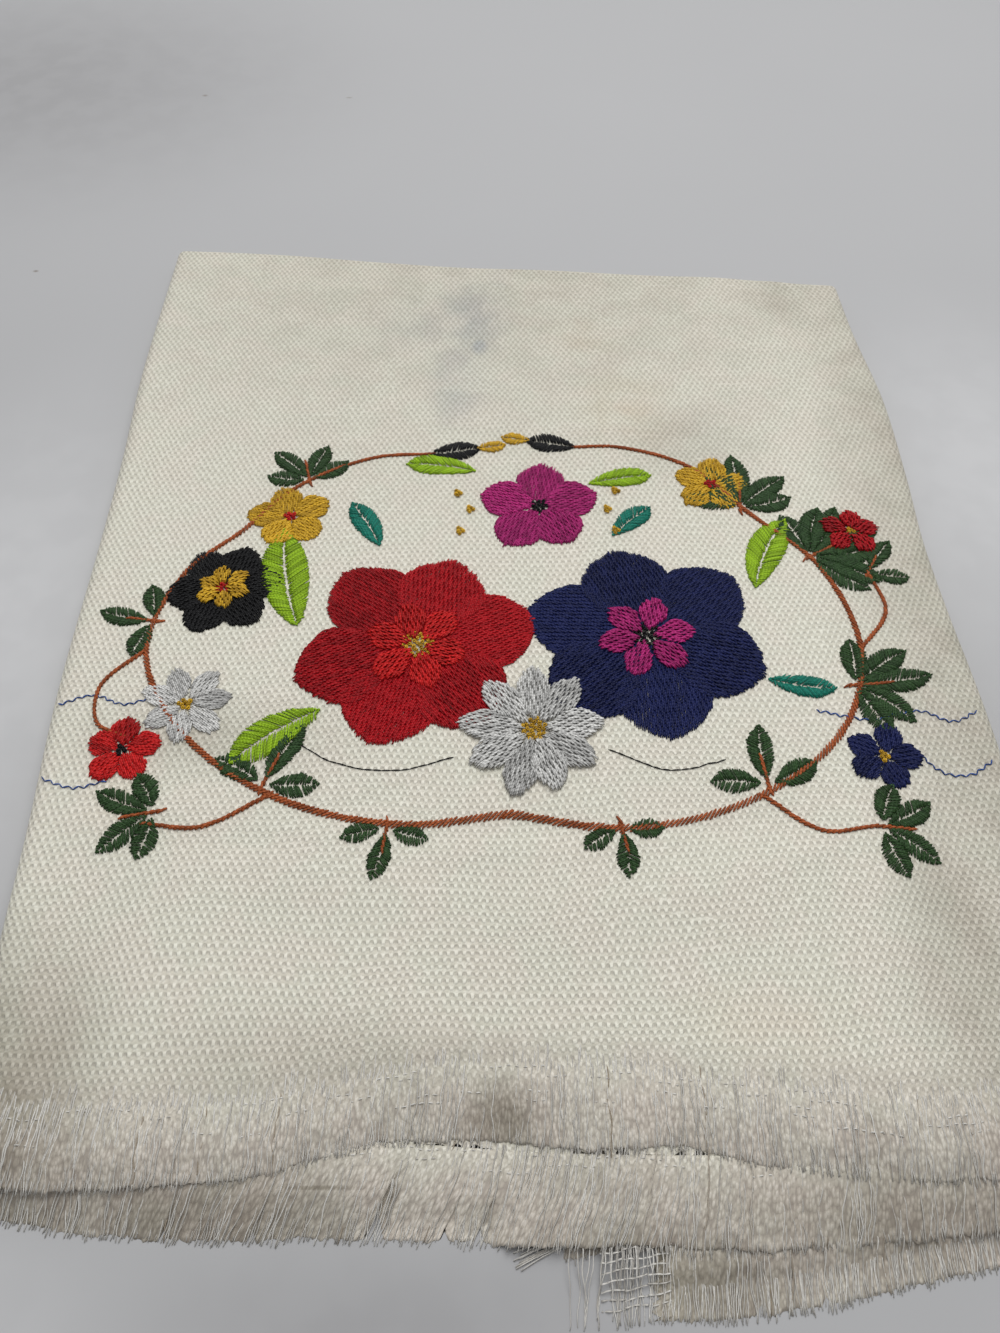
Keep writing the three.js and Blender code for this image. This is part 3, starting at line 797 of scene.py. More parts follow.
ROPE_SLANT = 1.3
ROPE_TAPER = 0.6
ROPE_LIFT = 0.34
ROPE_WIDTH = 0.80
ROPE_HEIGHT = 0.60
PETAL_STEP = 0.12
SPRAY_SPREAD = 150
SPRAY_START = 2.0
SPRAY_BEND = 14
SPRAY_LAG = 0.12
TWIG_WIDTH = 1.0
LINE_LIFT = 0.22
LINE_JITTER = 0.08
KNOT_SIZE = 0.62
KNOT_TOP = 0.35
KNOT_TURNS = 1.6
KNOT_APART = 2.4
KNOT_LIFTS = (0.25, 0.85)
KNOT_STEPS = 13
KNOT_WIDTH = 0.46
work = {}


def heading(degrees):
    return np.array([cos(radians(degrees)), sin(radians(degrees))])


def keep(colour, flat, lift, width, height, tones):
    """Keeps threads that lie `lift` over the cloth's own surface for their colour's piece."""
    x, y = flat[..., 0], flat[..., 1]
    paths = joined(x, y, panel_height(x, y, True) + OUTER_OFFSET + lift)
    work.setdefault(colour, []).append((paths, width, height, tones))


def lay(colour, starts, ends, lift, width=STITCH_WIDTH, height=STITCH_HEIGHT, tone=0.0):
    """Lays straight stitches from starts to ends, both (count, 2), over the cloth's surface."""
    starts = np.asarray(starts)[:, None]
    ends = np.asarray(ends)[:, None]
    count = len(starts)
    part = np.linspace(0, 1, STITCH_STEPS)
    flat = starts + (ends - starts) * part[:, None]
    arch = np.sin(pi * part) ** STITCH_ARCH
    rise = lift * uniform(0.9, 1.1, count)[:, None] * mix(STITCH_END_LIFT, 1.0, arch)
    taper = uniform(0.88, 1.12, count)[:, None] * mix(STITCH_END_WIDTH, 1.0, arch)
    tones = tone + uniform(-STITCH_SHADES, STITCH_SHADES, count)
    keep(colour, flat, rise, width * taper, height * taper, tones)


def clipped_lines(outline, direction, pitch):
    """Starts and ends of parallel lines across an outline, (count, 2) each."""
    axis = heading(direction)
    across = heading(direction + 90)
    along = outline @ axis
    beside = outline @ across
    next_along = np.roll(along, -1)
    next_beside = np.roll(beside, -1)
    starts, ends = [], []
    for level in np.arange(beside.min() + pitch / 2, beside.max(), pitch):
        crossed = (beside > level) != (next_beside > level)
        share = (level - beside[crossed]) / (next_beside[crossed] - beside[crossed])
        places = np.sort(along[crossed] + share * (next_along[crossed] - along[crossed]))
        for low, high in zip(places[::2], places[1::2]):
            starts.append(axis * low + across * level)
            ends.append(axis * high + across * level)
    return np.array(starts), np.array(ends)


def underlay(colour, outline, direction):
    """Broad flat threads under a fill, which keep the cloth from showing through it."""
    centre = outline.mean(axis=0)
    lines = clipped_lines(centre + (outline - centre) * UNDERLAY_SHRINK, direction, UNDERLAY_PITCH)
    lay(colour, *lines, UNDERLAY_LIFT, UNDERLAY_WIDTH, UNDERLAY_HEIGHT, UNDERLAY_TONE)


def fill(colour, outline, direction, lift, tone):
    """Fills an outline with parallel threads of staggered stitches, long and short."""
    underlay(colour, outline, direction)
    starts, ends = [], []
    axis = heading(direction)
    for row, (low, high) in enumerate(zip(*clipped_lines(outline, direction, STITCH_PITCH))):
        low = low + axis * normal(0, STITCH_JITTER)
        reach = (high - low) @ axis + normal(0, STITCH_JITTER)
        if reach < SHORTEST_ROW:
            continue
        start = low @ axis
        stagger = ((row * STITCH_STAGGER) % 1) * STITCH_LENGTH * STAGGER_REACH
        stagger += uniform(-STITCH_JITTER, STITCH_JITTER)
        first = math.floor(start / STITCH_LENGTH) * STITCH_LENGTH + stagger
        cuts = np.arange(first, start + reach, STITCH_LENGTH) - start
        cuts = cuts[(cuts > SHORTEST_STITCH) & (cuts < reach - SHORTEST_STITCH)]
        cuts = np.concatenate([[0], cuts, [reach]])
        starts.extend(low + axis * (cuts[:-1, None] - STITCH_LAP))
        ends.extend(low + axis * (cuts[1:, None] + STITCH_LAP))
    lay(colour, starts, ends, lift, tone=tone)


def resampled(line, run, at):
    """Places on a line, (count, 2), at distances along its run."""
    return joined(np.interp(at, run, line[:, 0]), np.interp(at, run, line[:, 1]))


def run_along(line):
    return running_sum(np.linalg.norm(np.diff(line, axis=0), axis=1))


def rail_satin(colour, left, right):
    """Threads from one rail to another, both (count, 2) and of like length, closely laid."""
    run = run_along((left + right) / 2)
    count = max(int(run[-1] / STITCH_PITCH), 2)
    at = np.linspace(0, run[-1], count)
    jitter = normal(0, SATIN_JITTER, (2, count, 2))
    starts, ends = resampled(left, run, at), resampled(right, run, at)
    lay(colour, starts + jitter[0], ends + jitter[1], SATIN_LIFT)


def leaf(colour, base, angle, length, width, bend, lag):
    """Slanted satin on both sides of a mid line; its edges run ahead of the mid line by `lag`."""
    part = np.linspace(0, 1, LEAF_STEPS)
    turn = np.radians(angle + bend * part)
    along = joined(np.cos(turn), np.sin(turn))
    side = joined(-along[:, 1], along[:, 0])
    steps = along[:-1] * length / (LEAF_STEPS - 1)
    middle = base + np.concatenate([[[0, 0]], np.cumsum(steps, axis=0)])
    half = side * (width / 2 * np.sin(pi * part**0.85) ** 0.8)[:, None]
    ahead = along * lag * np.sin(pi * part)[:, None]
    for edge in (half, -half):
        rail_satin(colour, middle + edge * LEAF_GAP, middle + edge + ahead)


def petal_outline(base, angle, length, width):
    """Outline of a broad petal from its base."""
    part = np.linspace(0, 1, OUTLINE_STEPS)
    middle = heading(angle) * (part * length)[:, None]
    half = heading(angle + 90) * (width / 2 * np.sin(pi * part**1.25) ** 0.72)[:, None]
    return base + np.concatenate([middle - half, (middle + half)[::-1]])


def petals(colour, x, y, count, length, width, turn, start, lift=SATIN_LIFT):
    """A ring of petals, each filled along itself, every second one a little higher."""
    for index in range(count):
        angle = turn + 360 * index / count + uniform(-4, 4)
        base = np.array([x, y]) + heading(angle) * start
        outline = petal_outline(base, angle, length * uniform(0.94, 1.05), width)
        # Each petal's own tone is painted sheen, which stands in for the sheen that changes with the
        # stitches' direction.
        tone = uniform(-0.25, 0.25)
        fill(colour, outline, angle + uniform(-10, 10), lift + PETAL_STEP * (index % 2), tone)


def smooth_path(points, step):
    """Evenly spaced places along a smooth line through points, with steps along and beside it."""
    reach = run_along(np.array(points))
    fine = np.linspace(0, reach[-1], PATH_STEPS)
    line = joined(*(line_through(reach, values)(fine) for values in by_column(points)))
    run = run_along(line)
    line = resampled(line, run, np.linspace(0, run[-1], max(int(run[-1] / step), 3)))
    along = np.gradient(line, axis=0)
    along /= np.linalg.norm(along, axis=1, keepdims=True)
    return line, along, joined(-along[:, 1], along[:, 0])


def stem(points, width):
    """A stem of thick slanted stitches that lap like the strands of a rope."""
    line, along, side = smooth_path(points, ROPE_PITCH)
    taper = mix(1.0, ROPE_TAPER, np.linspace(0, 1, len(line)))
    half = side * (width / 2 * taper * uniform(0.8, 1.2, len(line)))[:, None]
    slant = along * ROPE_SLANT
    lay("rust", line - half - slant, line + half + slant, ROPE_LIFT, ROPE_WIDTH, ROPE_HEIGHT)


def spray(x, y, angle, count, length, width):
    """Leaves fanned out from one place on a short twig."""
    base = np.array([x, y])
    stem([base - heading(angle) * SPRAY_START, base + heading(angle) * length * 0.5], TWIG_WIDTH)
    for index, share in enumerate(np.linspace(-0.5, 0.5, count)):
        turn = angle + SPRAY_SPREAD * share
        reach = length * (1 - 0.5 * abs(share)) * uniform(0.92, 1.08)
        start = base + heading(turn) * SPRAY_START
        bend = SPRAY_BEND * (-1) ** index
        leaf("leaf_green", start, turn, reach, width, bend, reach * SPRAY_LAG)


def running_line(colour, stitch, sway, width, *points):
    """A line of small stitches end to end, which may sway from side to side as a zigzag."""
    line, _, side = smooth_path(points, stitch)
    line = line + side * (sway * (-1.0) ** np.arange(len(line)))[:, None]
    line += normal(0, LINE_JITTER, line.shape)
    lay(colour, line[:-1], line[1:], LINE_LIFT, width)


def knots(colour, x, y, radius, count):
    """Small wound knots spread over a disc."""
    index = np.arange(count)[:, None] + 0.5
    reach = radius * np.sqrt(index / count)
    turns = np.linspace(0, 2 * pi * KNOT_TURNS, KNOT_STEPS) + uniform(0, 2 * pi, count)[:, None]
    ring = mix(KNOT_SIZE, KNOT_SIZE * KNOT_TOP, np.linspace(0, 1, KNOT_STEPS))
    flat = joined(
        x + reach * np.cos(index * KNOT_APART) + np.cos(turns) * ring,
        y + reach * np.sin(index * KNOT_APART) + np.sin(turns) * ring,
    )
    rise = np.linspace(*KNOT_LIFTS, KNOT_STEPS)
    keep(colour, flat, rise, KNOT_WIDTH, KNOT_WIDTH * 0.9, uniform(-0.5, 0.5, count))


# The design, in the order in which it is stitched. Stems: width, then points.
STEMS = (
    (2.2, (2, 112), (-26, 109), (-58, 117), (-84, 136), (-98, 162), (-92, 190), (-78, 206)),
    (2.2, (2, 112), (34, 108), (66, 117), (90, 136), (100, 162), (94, 192), (76, 214)),
    (1.2, (-98, 162), (-108, 150), (-106, 138), (-98, 134)),
    (1.2, (-58, 117), (-74, 108), (-88, 109)),
    (1.2, (66, 117), (80, 107), (92, 108)),
    (1.6, (-78, 206), (-62, 226), (-40, 238), (-22, 240)),
    (1.6, (76, 214), (60, 234), (38, 243), (24, 243)),
    (1.2, (100, 162), (110, 176), (108, 190)),
)

# Sprays: place, angle, count, length and width.
SPRAYS = (
    (-86, 112, 190, 4, 15, 6.5), (-60, 120, 70, 3, 17, 7), (-98, 172, 172, 3, 14, 6.5),
    (94, 108, -4, 4, 15, 6.5), (68, 120, 96, 3, 16, 7), (96, 150, 4, 5, 19, 7.5),
    (92, 196, 30, 7, 22, 8.5), (74, 216, 84, 5, 20, 8), (108, 190, 60, 3, 13, 6),
    (-60, 228, 104, 4, 16, 7), (30, 108, -80, 3, 12, 5.5), (-28, 108, -96, 3, 12, 5.5),
)

# Leaves: colour, place, angle, length, width, bend and lag.
LEAVES = (
    ("lime", (-57, 170), 112, 38, 14, -20, 4.0),
    ("lime", (-48, 142), 206, 27, 11, 22, 4.0),
    ("lime", (74, 184), 76, 30, 11, -24, 4.0),
    ("lime", (-8, 232), 160, 22, 9, 24, 4.0),
    ("lime", (28, 226), 20, 20, 8, -18, 4.0),
    ("teal", (-36, 200), 112, 20, 8, 14, 3.0),
    ("teal", (34, 204), 52, 17, 7.5, -16, 3.0),
    ("teal", (73, 152), -18, 18, 7, 18, 3.0),
)

# Petals: colour, place, count, length, width, turn, start and lift.
PETALS = (
    ("crimson", -23, 163, 6, 31, 26, 14, 3.0, 0.40),
    ("scarlet", -23, 163, 6, 13, 9, 44, 2.0, 0.95),
    ("navy", 41, 166, 6, 31, 26, 42, 3.0, 0.40),
    ("magenta", 41, 166, 6, 12, 8, 12, 2.0, 0.95),
    ("white", 9, 136, 9, 17, 9, 10, 2.5, 1.05),
    ("magenta", 12, 216, 5, 17, 15, 90, 1.5),
    ("black", -80, 184, 6, 15, 12.5, 8, 1.5),
    ("gold", -80, 184, 6, 7, 5, 38, 1.0, 0.95),
    ("gold", -64, 212, 5, 12, 10, 30, 1.0),
    ("gold", 66, 226, 5, 11, 9, 10, 1.0),
    ("white", -84, 144, 7, 11, 6.5, 8, 1.5),
    ("scarlet", -98, 130, 5, 9, 7.5, 20, 1.0),
    ("navy", 99, 128, 5, 9, 7.5, 0, 1.0),
    ("crimson", 106, 206, 5, 8, 6.5, 12, 1.0, 0.95),
)

# Knots in the flowers and beside the buds: colour, place, radius and count.
KNOTS = (
    ("gold", -23, 163, 4.6, 34), ("black", 41, 166, 4.6, 34), ("gold", 9, 136, 3.4, 22),
    ("black", 12, 216, 2.6, 14), ("scarlet", -80, 184, 2.2, 10), ("scarlet", -64, 212, 1.8, 8),
    ("scarlet", 66, 226, 1.8, 8), ("gold", -84, 144, 1.8, 8), ("black", -98, 130, 1.4, 5),
    ("gold", 99, 128, 1.4, 5), ("gold", 106, 206, 1.2, 4),
)
BUDS = ((-22, 240, 10), (24, 243, 168))
BUD_KNOTS = ((-12, 206), (-9, 215), (-13, 222), (35, 206), (33, 215), (36, 223))

# Fine blue sprigs over the side folds and black tendrils: stitch, sway and width, then points.
LINES = (
    ("blue", 1.2, 0.4, 0.40, (-118, 144), (-110, 147), (-100, 144), (-92, 147)),
    ("blue", 1.2, 0.4, 0.40, (-117, 122), (-108, 119), (-100, 121)),
    ("blue", 1.2, 0.4, 0.40, (84, 142), (98, 139), (112, 142), (120, 139), (127, 142)),
    ("blue", 1.2, 0.4, 0.40, (108, 130), (112, 125), (120, 123), (127, 127)),
    ("black", 2.2, 0.0, 0.34, (-56, 134), (-42, 126), (-26, 124), (-12, 128)),
    ("black", 2.2, 0.0, 0.34, (28, 130), (44, 124), (58, 127)),
)


def stitch_design():
    for width, *points in STEMS:
        stem(points, width)
    for row in SPRAYS:
        spray(*row)
    for row in LEAVES:
        leaf(*row)
    for row in PETALS:
        petals(*row)
    for row in KNOTS:
        knots(*row)
    for x, y, angle in BUDS:
        base = np.array([x, y])
        leaf("black", base, angle, 16, 8.5, 0, 2.0)
        leaf("gold", base + heading(angle) * 15, angle, 9, 5.5, 0, 1.5)
    for x, y in BUD_KNOTS:
        knots("gold", x, y, 1.3, 5)
    for row in LINES:
        running_line(*row)


def embroidery_pieces():
    stitch_design()
    pieces = []
    for colour, bundles in work.items():
        material = thread_material("thread_" + colour, THREAD_COLOURS[colour])
        pieces.append(tube_piece("stitches_" + colour, bundles, material, 4))
    return pieces


# Materials

THREAD_COLOURS = {
    "crimson": (0.47, 0.002, 0.008),
    "scarlet": (0.66, 0.012, 0.012),
    "navy": (0.009, 0.016, 0.095),
    "white": (0.80, 0.79, 0.76),
    "lime": (0.36, 0.60, 0.015),
    "leaf_green": (0.035, 0.085, 0.024),
    "magenta": (0.52, 0.022, 0.20),
    "teal": (0.008, 0.24, 0.17),
    "gold": (0.86, 0.48, 0.03),
    "black": (0.005, 0.005, 0.006),
    "rust": (0.44, 0.105, 0.028),
    "blue": (0.045, 0.12, 0.42),
}
# The weave's tones: painted shade in the gaps and on the sunken floats, the cloth's own ivory, and a
# paler ivory with painted highlight on the raised floats.
IVORY_PALE_AND_HIGHLIGHT = (1.0, 0.975, 0.86, 1.0)
IVORY_MIDDLE = (0.79, 0.76, 0.65, 1.0)
IVORY_GAP_SHADE = (0.62, 0.585, 0.505, 1.0)
# The loosened weave darkened: painted shade among its strands.
RAVELLED_SHADE_TINT = (0.85, 0.815, 0.825, 1.0)
PINKISH = (1.0, 0.975, 0.96, 1.0)
GREENISH = (0.985, 0.99, 0.965, 1.0)
STRAND_DARK = (0.62, 0.59, 0.54, 1.0)
STRAND_LIGHT = (0.93, 0.905, 0.85, 1.0)
STRAND_YELLOWED = (0.36, 0.27, 0.17, 1.0)
STRAND_TWIST = (0.62, 0.59, 0.52, 1.0)
TABLE_COLOURS = ((0.515, 0.515, 0.52, 1.0), (0.545, 0.545, 0.55, 1.0))

FIBRE_TURN = 38
TWIST_LENGTH = 0.9
WEAVE_BUMP = 0.34
STRAND_BUMP = 0.10
TWIST_BUMP = 0.05

# Stains and painted shade: middle in X and Y, reach in X and Y, strength.
SMUDGE = (
    (-11, 312, 20, 34, 0.75), (-7.5, 296, 5.5, 8, 1.2), (-14, 278, 15, 40, 0.6), (-1, 336, 8, 13, 0.4),
    (-22, 306, 34, 26, 0.35),
)
# Painted shade on the cloth: darker towards the back, along the side folds, in creases and pucker
# bands, and in the hollows under the upper fringe.
PAINTED_SHADE_UPPER = (
    (0, 42, 14, 13, 1.3), (79, 40, 4, 12, 0.42), (-116, 42, 44, 56, 1.5), (-130, 190, 18, 400, 0.5),
    (133, 190, 46, 500, 0.8), (110, 74, 26, 66, 0.75), (0, 360, 260, 210, 0.6), (60, 247, 50, 40, 0.55),
    (-75, 134, 52, 17, 0.55), (-47, 320, 45, 25, 0.5), (105, 325, 40, 40, 0.7), (-40, 54, 62, 16, 0.45),
)
# Painted shade on the layer below and its fringes: darker at the left and at the open corner, with a
# thin painted shadow line under an edge.
PAINTED_SHADE_LOWER = (
    (-100, 24, 44, 20, 0.8), (-58, 24, 46, 18, 1.05), (90, 22, 64, 20, 0.9), (34, 12, 48, 17, 1.3),
    (20, 31, 34, 10, 0.45), (-36, 29.3, 18, 0.9, 1.2),
)
YELLOWED = (
    (42, 262, 26, 30, 0.7), (30, 300, 20, 18, 0.5), (-96, 120, 14, 18, 0.4), (60, 62, 30, 14, 0.4),
)
# The colour that the painted shade multiplies in.
PAINTED_SHADE_TINT = (0.55, 0.53, 0.50, 1.0)
SMUDGE_TINT = (0.72, 0.76, 0.86, 1.0)
YELLOWED_TINT = (1.0, 0.93, 0.86, 1.0)

# The table's painted shade (a painted shadow before the fringes and a darker far corner), its painted
# light (paler places beside and before the packet) and small marks: spots in the same form, then a
# colour.
TABLE_SHADE_LIGHT_AND_MARKS = (
    (((-20, 4, 80, 26, 0.6), (-220, 500, 190, 150, 0.7)), (0.37, 0.365, 0.37, 1.0)),
    (
        (
            (-125, 2, 72, 36, 0.85), (130, 0, 50, 20, 0.27), (-150, 170, 75, 150, 1.0),
            (165, 235, 80, 120, 0.9),
        ),
        (0.68, 0.68, 0.685, 1.0),
    ),
    (
        ((-182, 351, 1.6, 1.1, 0.9), (-139, 490, 2.0, 1.4, 0.7), (-71, 488, 2.4, 1.0, 0.6)),
        (0.24, 0.20, 0.17, 1.0),
    ),
)


class Nodes:
    """A node tree, with short calls for the nodes used here."""

    def __init__(self, tree):
        self.tree = tree

    def node(self, kind, settings=None, **inputs):
        node = self.tree.nodes.new(kind)
        for key, value in (settings or {}).items():
            setattr(node, key, value)
        for key, value in inputs.items():
            self.put(node.inputs[key.replace("_", " ")], value)
        return node

    def put(self, socket, value):
        if isinstance(value, bpy.types.NodeSocket):
            self.tree.links.new(value, socket)
        else:
            socket.default_value = value


class Shader(Nodes):
    """A material's node tree."""

    def __init__(self, name):
        self.material = bpy.data.materials.new(name)
        self.material.use_nodes = True
        super().__init__(self.material.node_tree)
        self.surface = self.tree.nodes["Principled BSDF"]

    def flat(self):
        """Millimetres on the flat cloth, or along and round a thread."""
        return self.node("ShaderNodeUVMap", {"uv_map": "flat"}).outputs[0]

    def tone(self):
        return self.node("ShaderNodeAttribute", {"attribute_name": "tone"}).outputs["Fac"]

    def parts(self, place):
        return self.node("ShaderNodeSeparateXYZ", Vector=place).outputs

    def mapped(self, place, **inputs):
        return self.node("ShaderNodeMapping", Vector=place, **inputs).outputs[0]

    def math(self, operation, first, second=0.0):
        node = self.node("ShaderNodeMath", {"operation": operation})
        self.put(node.inputs[0], first)
        self.put(node.inputs[1], second)
        return node.outputs[0]

    def add(self, first, second):
        return self.math("ADD", first, second)

    def times(self, first, second):
        return self.math("MULTIPLY", first, second)

    def uneven(self, value, share):
        """A value about 0.5 as unevenness about zero."""
        return self.times(self.math("SUBTRACT", value, 0.5), share)

    def noise(self, place, scale, detail=2.0, stretch=(1.0, 1.0, 1.0)):
        place = self.mapped(place, Scale=stretch)
        return self.node("ShaderNodeTexNoise", Vector=place, Scale=scale, Detail=detail).outputs["Fac"]

    def flecks(self, place, stretch):
        """Distance from the nearest of scattered points."""
        place = self.mapped(place, Scale=stretch)
        texture = self.node("ShaderNodeTexVoronoi", Vector=place, Scale=1.0, Randomness=0.85)
        return texture.outputs["Distance"]

    def ramp(self, value, low, high, start=0.0, end=1.0):
        ends = dict(From_Min=low, From_Max=high, To_Min=start, To_Max=end)
        smooth = {"interpolation_type": "SMOOTHSTEP"}
        return self.node("ShaderNodeMapRange", smooth, Value=value, **ends).outputs[0]

    def slide(self, factor, first, second):
        """A number between two others, by a factor."""
        node = self.node("ShaderNodeMix", {"data_type": "FLOAT"})
        for index, value in ((0, factor), (2, first), (3, second)):
            self.put(node.inputs[index], value)
        return node.outputs[0]

    def blend(self, factor, first, second, mode="MIX"):
        node = self.node("ShaderNodeMix", {"data_type": "RGBA", "blend_type": mode})
        for index, value in ((0, factor), (6, first), (7, second)):
            self.put(node.inputs[index], value)
        return node.outputs[2]

    def tint(self, factor, colour, tint):
        return self.blend(factor, colour, tint, "MULTIPLY")

    def stain_and_shade(self, place, spots, cloudiness):
        """Strength of a cloudy pattern of soft spots, used for stains and for painted shade and light:
        middle X and Y, radii and strength.
        """
        cloud = self.ramp(self.noise(place, 0.07), 0.36, 0.64, 1.0 - cloudiness, 1.0)
        total = 0.0
        for x, y, radius_x, radius_y, strength in spots:
            middle = (-x / radius_x, -y / radius_y, 0)
            spot = self.mapped(place, Location=middle, Scale=(1 / radius_x, 1 / radius_y, 1.0))
            reach = self.node("ShaderNodeVectorMath", {"operation": "LENGTH"})
            self.put(reach.inputs[0], spot)
            spot = self.ramp(reach.outputs["Value"], 1.0, 0.0, 0.0, strength)
            total = self.math("MAXIMUM", spot, total)
        return self.times(total, cloud)

    def bump(self, height, distance):
        node = self.node("ShaderNodeBump", Height=height, Distance=distance)
        self.put(self.surface.inputs["Normal"], node.outputs[0])

    def finish(self, colour, roughness, **constants):
        self.put(self.surface.inputs["Base Color"], colour)
        self.put(self.surface.inputs["Roughness"], roughness)
        for key, value in constants.items():
            self.surface.inputs[key.replace("_", " ")].default_value = value
        return self.material


def weave_material(name, painted_shade):
    """Ivory hopsack that loosens into strands: uneven rows, painted shade in its gaps, painted fibre
    glints and highlights, faint stains, and painted shade in soft spots.
    """
    shader = Shader(name)
    flat = shader.flat()
    place = shader.parts(shader.mapped(flat, Rotation=(0, 0, radians(WEAVE_TURN))))
    sway = shader.times(shader.noise(flat, 0.016, 1.0), 9.0)
    drift_x = shader.times(shader.noise(flat, 0.14, 3.0), 1.2)
    drift_y = shader.times(shader.noise(flat, 0.19, 3.0, (1.0, 1.6, 1.0)), 0.9)
    across = shader.add(place[0], drift_x)
    along = shader.add(shader.add(place[1], sway), drift_y)
    columns = shader.math("COSINE", shader.times(across, 2 * pi / WEAVE_ACROSS))
    broader = shader.add(shader.times(shader.math("ABSOLUTE", columns), 0.5), 0.5)
    columns = shader.math("DIVIDE", columns, broader)
    rows = shader.math("COSINE", shader.times(along, pi / WEAVE_ROW))
    rows = shader.times(rows, shader.times(rows, rows))
    floats = shader.times(columns, rows)

    # Slanted fibres: painted glints in the colour, and bumps.
    slanted = shader.mapped(flat, Rotation=(0, 0, radians(FIBRE_TURN)))
    fibres = shader.noise(slanted, 1.0, 3.0, (3.4, 0.8, 1.0))
    woven = shader.add(floats, shader.uneven(shader.noise(flat, 0.62), 1.1))
    woven = shader.add(woven, shader.uneven(fibres, 1.2))
    strands = shader.noise(flat, 1.0, 3.0, (2.1, 0.30, 1.0))
    # Scattered flecks: painted glints on the loose strands.
    flecks = shader.flecks(flat, (1.45, 0.72, 1.0))
    fleck_light = shader.times(shader.math("SUBTRACT", 0.42, flecks), 3.2)
    combed = shader.add(shader.uneven(strands, 3.0), fleck_light)
    loose = shader.tone()
    level = shader.slide(loose, woven, combed)
    # Painted shade where the level is low and painted highlight where it is high.
    light = shader.ramp(level, -0.15, 0.35)
    colour = shader.blend(shader.ramp(level, -1.10, -0.40), IVORY_GAP_SHADE, IVORY_MIDDLE)
    colour = shader.blend(light, colour, IVORY_PALE_AND_HIGHLIGHT)
    # Painted shade deepens as the weave loosens.
    colour = shader.tint(loose, colour, RAVELLED_SHADE_TINT)

    patches = shader.ramp(shader.noise(flat, 0.075, 3.0), 0.38, 0.62)
    colour = shader.tint(1.0, colour, shader.blend(patches, PINKISH, GREENISH))
    # The smudge and the yellowing are stains; the spots passed in are painted shade.
    stains_and_shade = ((painted_shade, PAINTED_SHADE_TINT, 0.3), (SMUDGE, SMUDGE_TINT, 0.6), (YELLOWED, YELLOWED_TINT, 0.6))
    for spots, tint, cloudiness in stains_and_shade:
        colour = shader.tint(shader.stain_and_shade(flat, spots, cloudiness), colour, tint)

    woven_height = shader.add(shader.ramp(floats, -1.0, 1.0), shader.times(fibres, 0.5))
    combed_height = shader.math("SUBTRACT", strands, shader.times(flecks, 0.7))
    shader.bump(shader.slide(loose, woven_height, combed_height), WEAVE_BUMP * MM)
    roughness = shader.ramp(light, 0.0, 1.0, 0.60, 0.40)
    gloss = dict(Sheen_Weight=0.10, Sheen_Roughness=0.45, Specular_IOR_Level=0.4)
    return shader.finish(colour, roughness, **gloss)


def fringe_material():
    """Loose ivory threads: each its own shade, some yellowed."""
    shader = Shader("ivory_thread")
    tone = shader.tone()
    colour = shader.blend(shader.ramp(tone, -0.5, 0.5), STRAND_DARK, STRAND_LIGHT)
    colour = shader.blend(shader.ramp(tone, 0.46, 0.50), colour, STRAND_YELLOWED)
    twist = shader.noise(shader.flat(), 1.0, 2.0, (2.2, 6.0, 1.0))
    colour = shader.blend(shader.ramp(twist, 0.35, 0.65, 0.0, 0.25), colour, STRAND_TWIST)
    shader.bump(twist, STRAND_BUMP * MM)
    return shader.finish(colour, 0.42, Specular_IOR_Level=0.45, Sheen_Weight=0.08)


def thread_material(name, colour):
    """Glossy embroidery thread, twisted from two plies."""
    shader = Shader(name)
    place = shader.parts(shader.flat())
    run = shader.times(place[0], 2 * pi / TWIST_LENGTH)
    ply = shader.math("SINE", shader.add(run, shader.times(place[1], 4 * pi)))
    dark = tuple(channel * 0.50 for channel in colour) + (1.0,)
    light = tuple(min(channel * 1.25 + 0.004, 1.0) for channel in colour) + (1.0,)
    shaded = shader.blend(shader.ramp(shader.tone(), -0.7, 0.6), dark, light)
    colour = shader.blend(shader.ramp(ply, -1.0, 1.0, 0.0, 0.35), shaded, dark)
    shader.bump(ply, TWIST_BUMP * MM)
    return shader.finish(colour, 0.46, Specular_IOR_Level=0.22)


def table_material():
    """A pale, matt table top with painted shade and painted light in soft places, and a few faint
    marks.
    """
    shader = Shader("pale_table")
    metres = shader.node("ShaderNodeTexCoord").outputs["Object"]
    place = shader.mapped(metres, Location=FRAME_ORIGIN.tolist(), Scale=(1 / MM, 1 / MM, 1 / MM))
    colour = shader.blend(shader.noise(place, 0.006, 3.0), *TABLE_COLOURS)
    # Painted shade, painted light and small marks, one table row at a time.
    for spots, spot_colour in TABLE_SHADE_LIGHT_AND_MARKS:
        colour = shader.blend(shader.stain_and_shade(place, spots, 0.2), colour, spot_colour)
    return shader.finish(colour, 0.55, Specular_IOR_Level=0.3)


# Stage


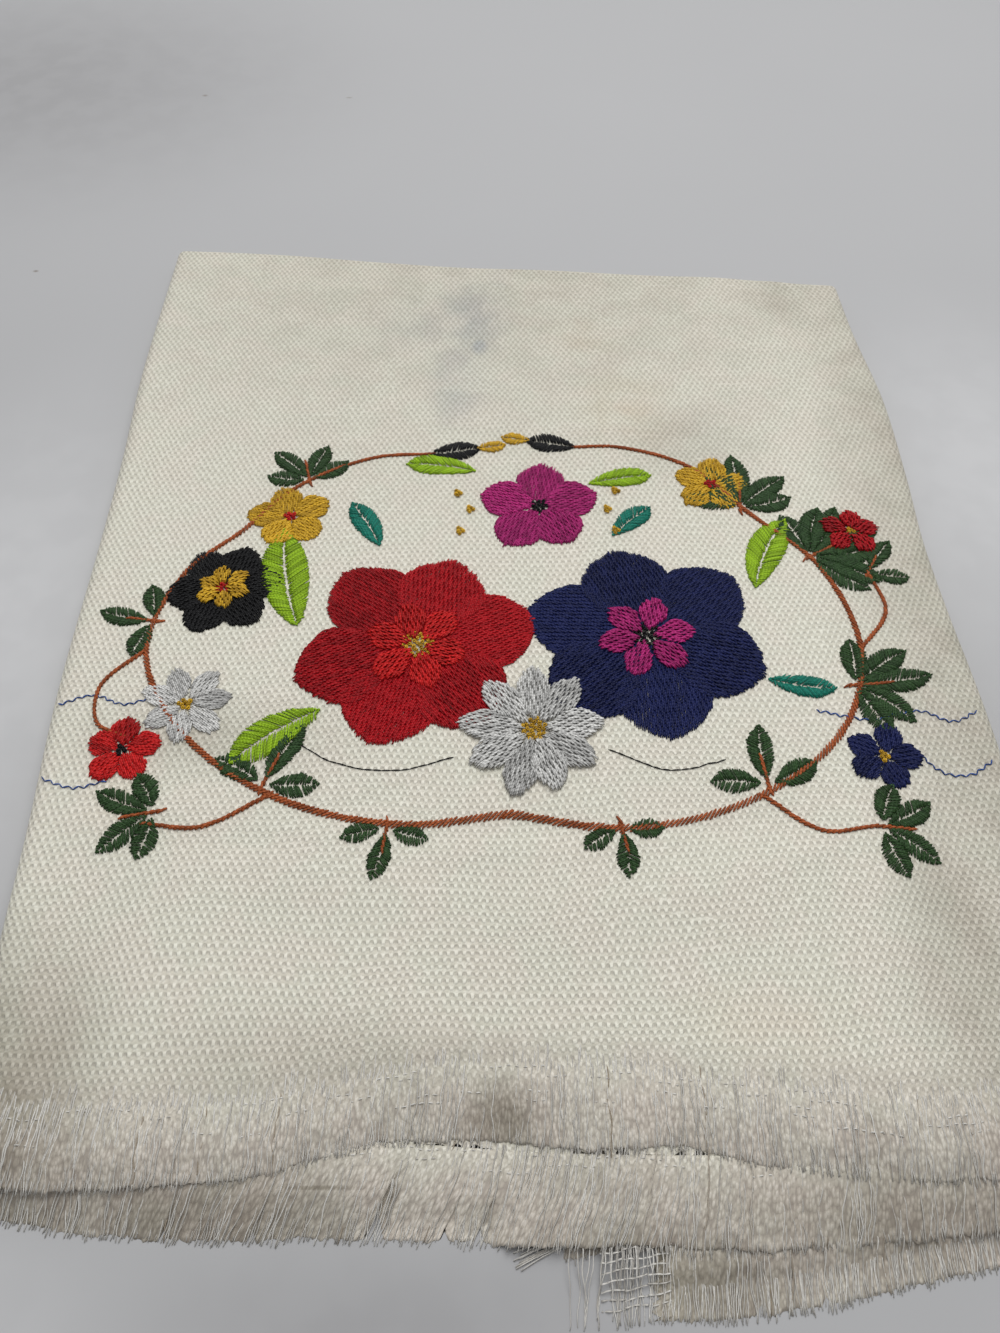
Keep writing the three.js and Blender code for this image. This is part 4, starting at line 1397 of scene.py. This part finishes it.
def floor():
    mesh = bpy.data.meshes.new("floor")
    corners = [(-2.5, -1.5, 0.0), (2.5, -1.5, 0.0), (2.5, 3.0, 0.0), (-2.5, 3.0, 0.0)]
    mesh.from_pydata(corners, [], [(0, 1, 2, 3)])
    mesh.materials.append(table_material())
    plane = linked("floor", mesh)


def lights():
    """A broad lamp above the back, and a room that is darker towards the camera's side."""
    light = bpy.data.lights.new("ceiling_lamp", "AREA")
    light.shape = "DISK"
    light.size = LAMP_SIZE
    light.energy = LAMP_POWER
    lamp = linked("ceiling_lamp", light)
    lamp.location = LAMP_PLACE
    x, y, z = LAMP_PLACE
    lamp.rotation_euler = (math.atan2(math.hypot(x, y), z), 0, math.atan2(x, -y))
    world = bpy.data.worlds.new("room")
    world.use_nodes = True
    room = Nodes(world.node_tree)
    place = room.node("ShaderNodeTexCoord").outputs["Generated"]
    depth = room.node("ShaderNodeSeparateXYZ", Vector=place).outputs["Y"]
    ends = dict(From_Min=-1.0, From_Max=1.0, To_Min=ROOM_NEAR, To_Max=ROOM_FAR)
    strength = room.node("ShaderNodeMapRange", Value=depth, **ends).outputs[0]
    background = world.node_tree.nodes["Background"]
    room.put(background.inputs["Strength"], strength)
    room.put(background.inputs["Color"], ROOM_COLOUR)
    bpy.context.scene.world = world


def camera():
    data = bpy.data.cameras.new("camera")
    data.lens = CAMERA_LENS
    data.sensor_width = CAMERA_SENSOR
    data.sensor_fit = "AUTO"
    data.clip_start = 0.01
    view = linked("camera", data)
    view.location = (np.array([0.0, 0.0, CAMERA_HEIGHT]) - FRAME_ORIGIN) * MM
    view.rotation_euler = (radians(90 - CAMERA_DOWN_ANGLE), 0, 0)
    bpy.context.scene.camera = view


camera()
lights()
floor()
upper_weave = weave_material("ivory_hopsack", PAINTED_SHADE_UPPER)
lower_weave = weave_material("ivory_hopsack_below", PAINTED_SHADE_LOWER)
cloth = cloth_piece(upper_weave)
fringes = fringe_pieces(fringe_material(), upper_weave, lower_weave)
stitches = embroidery_pieces()
bpy.context.scene.view_settings.view_transform = "Standard"
